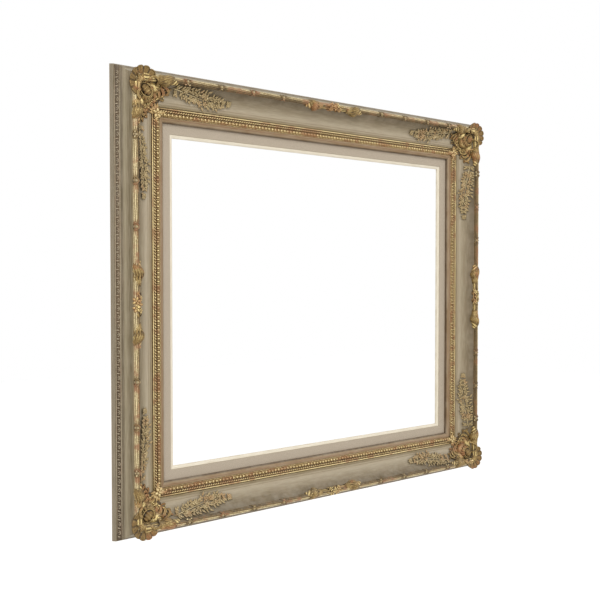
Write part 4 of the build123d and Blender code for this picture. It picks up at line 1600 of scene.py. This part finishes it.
def sheath_radius(place, angle, stations, radii):
    """Radius of the sheath's body at a place and an angle."""
    slid = place + SHEATH_SLANT * np.sin(np.radians(angle)) * past_neck(place, stations)
    ease = np.interp(slid, stations, np.arange(4))
    ease = np.floor(ease) + (1 - np.cos(np.pi * (ease % 1))) / 2
    body = np.interp(ease, np.arange(4), radii)
    return body * (1 + (hill(angle, *DRAPE) - hill(angle, *TRIM)) * blade_share(place, stations))


def sheath_body(clay, stations, radii):
    """A closed body: reeded on its stalk, with slanting ribs on its blade."""
    start, neck, _, end = stations
    along = np.linspace(start, end, SHEATH_POINTS)[:, None]
    turn = np.linspace(-180, 180, SHEATH_SIDES + 1)[None, :-1]
    blade = blade_share(along, stations)
    reed = np.abs(np.sin(np.radians(turn) * STALK_REEDS / 2 + 0.4)) ** 0.8
    slant = (along - neck) / (end - neck) * SHEATH_RIBS + turn / 100
    rib = np.abs(np.sin(np.pi * slant)) ** 0.7
    crest = reed * (1 - blade) + rib * blade
    radius = sheath_radius(along, turn, stations, radii) - SHEATH_SINK + crest * (0.5 + blade)
    rings = around_sheath(along, turn, radius)
    clay.add(rings.reshape(-1, 3), loft(rings), (0.1 + 0.85 * crest).reshape(-1))


tip_share = float(blade_share(SHEATH_STATIONS[3], SHEATH_STATIONS))
print("share of the blade at a sheath's tip:", round(tip_share, 2))

# %% Lobes of a leaf sheath
TIP_LOBES = (-48, -20, 8, 36, 64, 92, 118)
TIP_LOBE_SIZE = (5.2, 1.3)
# Root before the flare and run past the tip, each with what the next lobe adds to it or loses
TIP_LOBE_ROOT = (9, 0.8)
TIP_LOBE_RUN = (8, 1.1)
TIP_LOBE_TURN = (16, 46)
# Each neck leaf: its angle and its width
NECK_LEAVES = ((-60, 4.4), (-22, 5.2), (18, 5.4), (58, 5.4), (98, 5.0))
NECK_LEAF_ROOT = 5
NECK_LEAF_RUN = 2
NECK_LEAF_TURN = (18, 40)
NECK_LEAF_DEPTH = 1.2


def leaf_sheath(clay, stations, radii):
    """An acanthus leaf twisted round the ridge, with lobes on its blade and leaves at its neck."""
    sheath_body(clay, stations, radii)
    _, neck, flare, end = stations
    s = np.linspace(0, 1, 13)

    def cling(place, angle, lift, width, depth, crease):
        """A leaf that follows the sheath's body."""
        path = around_sheath(place, angle, sheath_radius(place, angle, stations, radii) + lift)
        frond(clay, path, width, depth, up=out_of_ridge(angle), sides=12, crease=crease)

    for i, angle in enumerate(TIP_LOBES):
        root = flare - TIP_LOBE_ROOT[0] - TIP_LOBE_ROOT[1] * i
        run = end - flare + TIP_LOBE_RUN[0] - TIP_LOBE_RUN[1] * i
        swing = angle + TIP_LOBE_TURN[0] - TIP_LOBE_TURN[1] * s
        cling(root + run * s, swing, 0.5 * np.sin(np.pi * s) + 0.9 * s**3, *TIP_LOBE_SIZE, 0.55)
    for angle, width in NECK_LEAVES:
        place = neck - NECK_LEAF_ROOT + (flare - neck + NECK_LEAF_RUN) * s
        swing = angle + NECK_LEAF_TURN[0] - NECK_LEAF_TURN[1] * s
        cling(place, swing, 0.2 + s**2, width, NECK_LEAF_DEPTH, 0.5)


wing = Carving()
leaf_sheath(wing, SHEATH_STATIONS, SHEATH_RADII)
print("faces in a leaf sheath:", len(wing.faces))

# %% [markdown]
# The rest of the wing fills the room between sheath, boss and ridge. A volute is a tube that winds in on a
# spiral and ends in an eye. A second, open scroll crosses over it, and leaves nest behind one another down
# the scoop, on a low pad that keeps the cast in one piece.

# %% Volute and open scroll
VOLUTE_CENTRE = (60, 28.5)
VOLUTE_HEIGHT = 31.5
VOLUTE_RISE = 3.0
VOLUTE_SIZE = 8.0
VOLUTE_START = 120
VOLUTE_TURNS = 1.7
VOLUTE_CLOSE_SHARE = 0.78
VOLUTE_TUBE = (4.6, 2.2)
VOLUTE_BED_SINK = 1.5
VOLUTE_BED_SIZE = (15.2, 15.2, 3.6)
EYE_SIZE = (3.6, 3.6, 2.2)
WING_BED_CENTRE = (51, 30, 24)
WING_BED_SIZE = (34, 22, 11.5)
SCROLL_CENTRE = (47, 29)
SCROLL_RADII = (10, 9.5)
SCROLL_ANGLES = (165, 375)
SCROLL_LIFT = 2.0
SCROLL_RISE = 1.5
SCROLL_TOP = 45.5
SCROLL_TUBE = (4.4, 2.2)
SCROLL_TIP_SIZE = (5.2, 5.2, 2.6)


def winding_outline(s):
    """A stem that gets thinner as it winds in."""
    return stem_outline(s) * (1 - 0.5 * s)


def volute(clay):
    """A scroll that winds in and up to an eye, on a round bed."""
    s = np.linspace(0, 1, 44)
    turn = np.radians(VOLUTE_START + 360 * VOLUTE_TURNS * s)
    radius = VOLUTE_SIZE * (1 - VOLUTE_CLOSE_SHARE * s)
    winding = np.column_stack([np.cos(turn), np.sin(turn)]) * radius[:, None] + np.array(VOLUTE_CENTRE)
    path = np.column_stack([winding, VOLUTE_HEIGHT + VOLUTE_RISE * s])
    frond(clay, path, *VOLUTE_TUBE, outline=winding_outline, sides=10, crease=0.25, worth=0.82)
    bed = (*VOLUTE_CENTRE, VOLUTE_HEIGHT - VOLUTE_BED_SINK)
    lump(clay, bed, (1, 0, 0), *VOLUTE_BED_SIZE, rings=9, sides=16)
    lump(clay, (*VOLUTE_CENTRE, VOLUTE_HEIGHT + VOLUTE_RISE), (1, 0, 0), *EYE_SIZE, rings=7)


def open_scroll(clay):
    """A C scroll over the wing's bed, with a round tip at either end."""
    lump(clay, WING_BED_CENTRE, (1, 0, 0), *WING_BED_SIZE, rings=11, sides=20)
    turn = np.radians(np.linspace(*SCROLL_ANGLES, 25))
    scroll = np.column_stack([np.cos(turn), np.sin(turn)]) * SCROLL_RADII + SCROLL_CENTRE
    path, _ = laid(on_side, scroll, SCROLL_LIFT)
    path[:, 2] = np.minimum(path[:, 2] + SCROLL_RISE, SCROLL_TOP)
    frond(clay, path, *SCROLL_TUBE, outline=stem_outline, sides=12, crease=0.3, worth=0.82)
    for tip in (path[1], path[-2]):
        lump(clay, tip, (1, 0, 0), *SCROLL_TIP_SIZE, rings=9, sides=12)


volute(wing)
open_scroll(wing)
print("faces with the scrolls:", len(wing.faces))

# %% Nested leaves of the wing
PAD_BEND = ((57, 27), (66, 38), (57, 50))
PAD_LIFT = 0.2
PAD_SIZE = (19, 1.8)
# Each nested leaf: start, middle and end of its bend, and its width
NESTED_LEAVES = (
    ((63, 25.5), (93, 33), (68, 42), 4.6),
    ((60, 27), (83, 38), (62, 46), 5.0),
    ((56, 29), (74, 41), (58, 49), 5.0),
    ((51, 33), (66, 44), (53, 51), 4.6),
)
NESTED_LIFT = (1.6, 1.2)
NESTED_DEPTH = 1.9
NESTED_BUD_SIZE = (3.6, 3.6, 2.0)
# Each lobe: its start, its end and its width
WING_LOBES = (((74, 33), (84, 29), 4.2), ((73, 38), (83, 37), 4.0), ((67, 45), (76, 46), 4.0))
WING_LOBE_BOW = 2.0
WING_LOBE_LIFT = 1.4
WING_LOBE_DEPTH = 1.5
# Each bud: its place along, its inset and its size
WING_BUDS = ((52, 38, 4.6), (57.5, 41.5, 3.8), (70, 31, 3.4), (63, 46, 3.0), (74, 43, 2.8))
WING_BUD_LIFT = 1.6
WING_BUD_DEPTH_SHARE = 0.55


def nested_leaves(clay):
    """Leaves on a low pad, each behind the next, with lobes and buds between them."""
    pad, out = laid(on_side, bend(*PAD_BEND, 13), PAD_LIFT)
    frond(clay, pad, *PAD_SIZE, up=out, outline=stem_outline, sides=18, worth=0.3)
    arch = NESTED_LIFT[0] + NESTED_LIFT[1] * np.sin(np.pi * np.linspace(0, 1, 17))
    for start, middle, end, width in NESTED_LEAVES:
        path, out = laid(on_side, bend(start, middle, end, 17), arch)
        frond(clay, path, width, NESTED_DEPTH, up=out, sides=14, crease=0.6)
        lump(clay, path[-2], (1, 0, 0), *NESTED_BUD_SIZE, up=out[-2], rings=7, sides=10)
    for start, end, width in WING_LOBES:
        middle = (np.array(start) + np.array(end)) / 2 + [0, WING_LOBE_BOW]
        path, out = laid(on_side, bend(start, middle, end), WING_LOBE_LIFT)
        frond(clay, path, width, WING_LOBE_DEPTH, out, lobe_outline, sides=12, crease=0.5, worth=0.85)
    for station, inset, size in WING_BUDS:
        spot, out = laid_spot(on_side, (station, inset), WING_BUD_LIFT)
        lump(clay, spot, (1, 0, 0), size, size, size * WING_BUD_DEPTH_SHARE, up=out, rings=7)


nested_leaves(wing)
print("faces in a wing:", len(wing.faces))

# %% Casts of the corner ornament
corner_carving.join(wing)
corner_carving.join(wing, lambda points: points[:, [1, 0, 2]])
for corner in CORNERS:
    finish = leafed["gold_cast"]
    place_on_corner("cast_corner", corner, corner_carving, finish, "gilded_ornament", ["corner_ornament"])
print("faces in a cast corner:", len(corner_carving.faces))

# %% [markdown]
# On the middle of each side two sheaths face away from a knot of small flowers, joined by stalks. It is the
# same leaf as at the corners, so only its stations and radii are new.

# %% Small flowers
PETALS = 5
PETAL_OUT_SHARE = 0.58
PETAL_SHARES = (1, 0.78, 0.32)
PETAL_LIFT = 0.2
EYE_OUT_SHARE = 0.22
EYE_SHARES = (0.55, 0.55, 0.3)


def floret(clay, spot, out, size, twist=0.0, worth=1.0):
    """A small flower: round petals about a raised eye."""
    out = unit(np.asarray(out, float))
    first = unit(np.cross(out, (0.3, 1.0, 0.1)))
    second = np.cross(out, first)
    petal = [size * share for share in PETAL_SHARES]
    for i in range(PETALS):
        turn = twist + 2 * math.pi * i / PETALS
        way = math.cos(turn) * first + math.sin(turn) * second
        centre = spot + way * size * PETAL_OUT_SHARE + out * PETAL_LIFT
        lump(clay, centre, way, *petal, up=out, rings=7, sides=8, worth=worth)
    eye = [size * share for share in EYE_SHARES]
    lump(clay, spot + out * size * EYE_OUT_SHARE, first, *eye, up=out, rings=7, sides=8)


trial = Carving()
floret(trial, np.zeros(3), OUTWARD, 5)
print("faces in a floret:", len(trial.faces))

# %% Centre ornaments
CENTRE_STATIONS = (13, 30, 48, 62)
CENTRE_RADII = (5.0, 4.8, 7.9, 4.4)
STALK_ANGLES = (-60, -15, 30, 75)
STALK_REACH = 16
STALK_TWIST = 0.8
STALK_RADIUS = 4.6
STALK_SIZE = (2.6, 1.1)
# Each floret: place along, angle round the sheath's axis and size. Each leaf: place, angle and length
KNOT_FLORETS = ((-5.0, -34, 6.2), (5.5, -30, 6.0), (0, 8, 5.6), (-8.5, 34, 4.6), (9, 36, 4.6))
KNOT_LEAVES = ((-8, 62, 10), (8, 66, 10), (-12, -20, 8), (12, -18, 8), (-3, 100, 9), (3, 104, 9))
KNOT_FLORET_RADIUS = 5.4
KNOT_LEAF_RADIUS = 5.0
KNOT_LEAF_ARCH = 0.9
KNOT_LEAF_TURN = 14
KNOT_LEAF_SIZE = (4.0, 1.2)


def flower_knot(clay):
    """Twisted stalks under a knot of florets and small leaves."""
    stem = np.linspace(-STALK_REACH, STALK_REACH, 21)
    for angle in STALK_ANGLES:
        swing = angle + STALK_TWIST * stem
        path = around_sheath(stem, swing, STALK_RADIUS)
        frond(clay, path, *STALK_SIZE, up=out_of_ridge(swing), outline=stem_outline, sides=8)
    for along, angle, size in KNOT_FLORETS:
        floret(clay, around_sheath(along, angle, KNOT_FLORET_RADIUS), out_of_ridge(angle), size, twist=along)
    s = np.linspace(0, 1, 9)
    for along, angle, length in KNOT_LEAVES:
        place = along + math.copysign(length, along) * s
        swing = angle + KNOT_LEAF_TURN * s
        path = around_sheath(place, swing, KNOT_LEAF_RADIUS + KNOT_LEAF_ARCH * np.sin(np.pi * s))
        frond(clay, path, *KNOT_LEAF_SIZE, up=out_of_ridge(swing), crease=0.5)


sheath = Carving()
leaf_sheath(sheath, CENTRE_STATIONS, CENTRE_RADII)
centre_carving = Carving()
centre_carving.join(sheath)
centre_carving.join(sheath, lambda points: points * np.array([-1, 1, 1]))
flower_knot(centre_carving)
for side in SIDES:
    finish = leafed["gold_cast"]
    place_on_side("cast_centre", side, centre_carving, finish, "gilded_ornament", ["centre_ornament"])
print("faces in a centre ornament:", len(centre_carving.faces))

# %% [markdown]
# Flower sprays lie on the scoop beside each corner, one along the stile and its mirror along the rail. In
# the real cast they are a tangle of stalks, small leaves, florets and berries under a pale wash, with gold
# left here and there. A seeded draw varies length and angle a little, so that the leaves don't look
# counted.

# %% Leaves and berries on the scoop
SPRAY_STEM = ((84, 28), (124, 33), (150, 43), (190, 38))
SPRAY_LOW = 22.8
SPRAY_HIGH = 54.2
LEAF_POINTS = 8
LEAF_DEPTH = 1.1
LEAF_ARCH = 0.9
LEAF_TIP_LIFT = 0.3
BERRY_SIZE = (2.8, 2.8, 1.4)
BERRY_LIFT = 2.6


def spray_stem(share):
    """Points of the main stalk, a smooth bend through four places."""
    a, b, c, d = (np.array(p, float) for p in SPRAY_STEM)
    s = np.reshape(share, (-1, 1))
    return (1 - s) ** 3 * a + 3 * s * (1 - s) ** 2 * b + 3 * s**2 * (1 - s) * c + s**3 * d


def laid_leaf(clay, root, angle, reach, width, lift, curl=0.0):
    """A small leaf on the scoop: returns its midrib as places along and inward."""
    turn = math.radians(angle)
    way = np.array([math.cos(turn), math.sin(turn)])
    side = np.array([-way[1], way[0]]) * curl
    xy = bend(root, root + way * reach * 0.5 + side, root + way * reach, LEAF_POINTS)
    xy[:, 1] = np.clip(xy[:, 1], SPRAY_LOW, SPRAY_HIGH)
    s = np.linspace(0, 1, LEAF_POINTS)
    path, out = laid(on_side, xy, lift + LEAF_ARCH * np.sin(np.pi * s) + LEAF_TIP_LIFT * s)
    frond(clay, path, width, LEAF_DEPTH, up=out, sides=8, crease=0.5)
    return xy


def berry(clay, spot):
    """A small round berry on the scoop."""
    place, out = laid_spot(on_side, spot, BERRY_LIFT)
    lump(clay, place, (1, 0, 0), *BERRY_SIZE, up=out, rings=6, sides=8)


print("middle of the stalk, along and inward in mm:", spray_stem(0.5)[0].round(1))

# %% Flower sprays
SPRAY_SEED = 11
SPRAY_BRANCHES = 12
STALK_LIFT = 1.2
MAIN_STALK_SIZE = (2.4, 1.3)
BRANCH_SPREAD = (30, 50)
BRANCH_REACH = (9, 18)
BRANCH_CURL = (1.0, 2.6)
BRANCH_WIDTH = 2.0
BRANCH_LIFT = 0.8
# Where twigs leave a branch, and how long they are there
TWIG_SHARES = ((0.35, 0.8), (0.7, 1.0))
TWIG_TURNS = (-48, 44)
TWIG_SWAY = 14
TWIG_LENGTH = (5.5, 9.0)
TWIG_WIDTH = 3.1
TWIG_LIFT = (0.8, 2.4)
END_LEAF_LENGTH = (6.0, 10.0)
END_LEAF_SWAY = 12
END_LEAF_WIDTH = 3.6
END_LEAF_LIFT = 2.0
BERRY_STEP = 3
# Each floret: share of the stalk, place beside it and size
SPRAY_FLORETS = ((0.2, -3, 4.4), (0.38, 5, 4.8), (0.52, -6, 4.2), (0.7, 2, 3.8))
SPRAY_FLORET_LIFT = 2.2
STALK_END_SHARE = 0.97
STALK_END_LEAVES = (-36, -6, 24)
STALK_END_LEAF = (8, 3.4, 1.3)


def spray_branch(clay, draw, root, heading, way, fullness):
    """A branch with twigs and an end leaf: returns the place of its end leaf."""
    angle = heading + way * draw.uniform(*BRANCH_SPREAD)
    reach = draw.uniform(*BRANCH_REACH) * fullness
    curl = way * draw.uniform(*BRANCH_CURL)
    branch = laid_leaf(clay, root, angle, reach, BRANCH_WIDTH, BRANCH_LIFT, curl)
    growth = 0.6 + 0.4 * fullness
    for share, size in TWIG_SHARES:
        twig = branch[int(share * (LEAF_POINTS - 1))]
        for turn in TWIG_TURNS:
            length = draw.uniform(*TWIG_LENGTH) * size * growth
            sway = draw.uniform(-TWIG_SWAY, TWIG_SWAY)
            laid_leaf(clay, twig, angle + turn + sway, length, TWIG_WIDTH, draw.uniform(*TWIG_LIFT))
    length = draw.uniform(*END_LEAF_LENGTH) * growth
    sway = draw.uniform(-END_LEAF_SWAY, END_LEAF_SWAY)
    laid_leaf(clay, branch[-2], angle + sway, length, END_LEAF_WIDTH, END_LEAF_LIFT)
    return branch[-2]


def spray():
    """A main stalk with branches on either side, a few florets and three leaves at its end."""
    draw = random.Random(SPRAY_SEED)
    clay = Carving()
    path, out = laid(on_side, spray_stem(np.linspace(0, 1, 41)), STALK_LIFT)
    frond(clay, path, *MAIN_STALK_SIZE, up=out, outline=taper_outline, sides=8)
    for i in range(SPRAY_BRANCHES):
        share = (i + 0.5) / SPRAY_BRANCHES
        root, after = spray_stem([share, share + 0.01])
        heading = math.degrees(math.atan2(*(after - root)[::-1]))
        fullness = (0.3 + 0.7 * math.sin(math.pi * share**0.8) ** 0.8) * min(1.0, (1.06 - share) / 0.4)
        for way in (-1, 1):
            end = spray_branch(clay, draw, root, heading, way, fullness)
            if i % BERRY_STEP == 0:
                berry(clay, end)
    for share, across, size in SPRAY_FLORETS:
        spot, out = laid_spot(on_side, spray_stem(share)[0] + [0, across], SPRAY_FLORET_LIFT)
        floret(clay, spot, out, size, twist=across, worth=0.75)
    for angle in STALK_END_LEAVES:
        laid_leaf(clay, spray_stem(STALK_END_SHARE)[0], angle, *STALK_END_LEAF)
    return clay


spray_carving = spray()
for corner in CORNERS:
    for stick in ("stile", "rail"):
        node = "spray_" + stick
        finish = leafed["washed_spray"]
        place_on_corner("leaf_" + node, corner, spray_carving, finish, "gilded_ornament", [node], stick)
print("faces in a spray:", len(spray_carving.faces))

# %% [markdown]
# Where two egg strips meet, a small flower covers the joint, held by leaves that reach out of the palmette.
# It is the bright spark on each inner corner.

# %% Sight corner flowers
SIGHT_INSET = 65.5
FLOWER_HEIGHT = 21.2
SIGHT_FLOWER_SIZE = 7.6
SIGHT_FLOWER_TWIST = 0.26
HEART_LIFT = 1.2
HEART_SIZE = (4.2, 4.2, 2.0)
CUSHION_SINK = 1.6
CUSHION_SIZE = (10.5, 10.5, 2.2)
LEAF_START = 3
# Each leaf towards the palmette: its way, its reach and its width
INWARD_LEAVES = ((180, 12, 5.0), (270, 12, 5.0), (225, 13, 6.0), (200, 14, 4.0), (250, 14, 4.0))
INWARD_LEAF_LIFT = 1.0
INWARD_LEAF_DEPTH = 1.5
STRIP_LEAF_REACH = 12
STRIP_LEAF_BOW = 2.0
STRIP_LEAF_LIFT = 1.6
STRIP_LEAF_SIZE = (4.4, 1.4)


def sight_leaves(clay):
    """Leaves from the flower back to the palmette, and one along each strip."""
    centre = np.array([SIGHT_INSET, SIGHT_INSET])
    for angle, reach, width in INWARD_LEAVES:
        way = np.array([math.cos(math.radians(angle)), math.sin(math.radians(angle))])
        start = centre + way * LEAF_START
        xy = bend(start, start + way * reach / 2, start + way * reach)
        height = np.maximum(on_corner(xy), STRIP_TOP) + INWARD_LEAF_LIFT
        frond(clay, np.column_stack([xy, height]), width, INWARD_LEAF_DEPTH, crease=0.5)
    for way in (np.array([1, 0]), np.array([0, 1])):
        start = centre + way * LEAF_START
        side = way[::-1] * -STRIP_LEAF_BOW
        middle = start + way * STRIP_LEAF_REACH / 2 + side
        xy = bend(start, middle, start + way * STRIP_LEAF_REACH + side)
        path = np.column_stack([xy, np.full(len(xy), STRIP_TOP + STRIP_LEAF_LIFT)])
        frond(clay, path, *STRIP_LEAF_SIZE, crease=0.5)


def sight_flower():
    """A flower with a raised heart on a round cushion."""
    clay = Carving()
    spot = np.array([SIGHT_INSET, SIGHT_INSET, FLOWER_HEIGHT])
    floret(clay, spot, OUTWARD, SIGHT_FLOWER_SIZE, twist=SIGHT_FLOWER_TWIST)
    lump(clay, spot + [0, 0, HEART_LIFT], (1, 1, 0), *HEART_SIZE, rings=9, sides=12)
    lump(clay, spot - [0, 0, CUSHION_SINK], (1, 1, 0), *CUSHION_SIZE, rings=9, sides=16)
    sight_leaves(clay)
    return clay


flower_carving = sight_flower()
for corner in CORNERS:
    place_on_corner("sight_flower", corner, flower_carving, leafed["gold_bead"], "gilded_ornament")
print("faces in a sight flower:", len(flower_carving.faces))
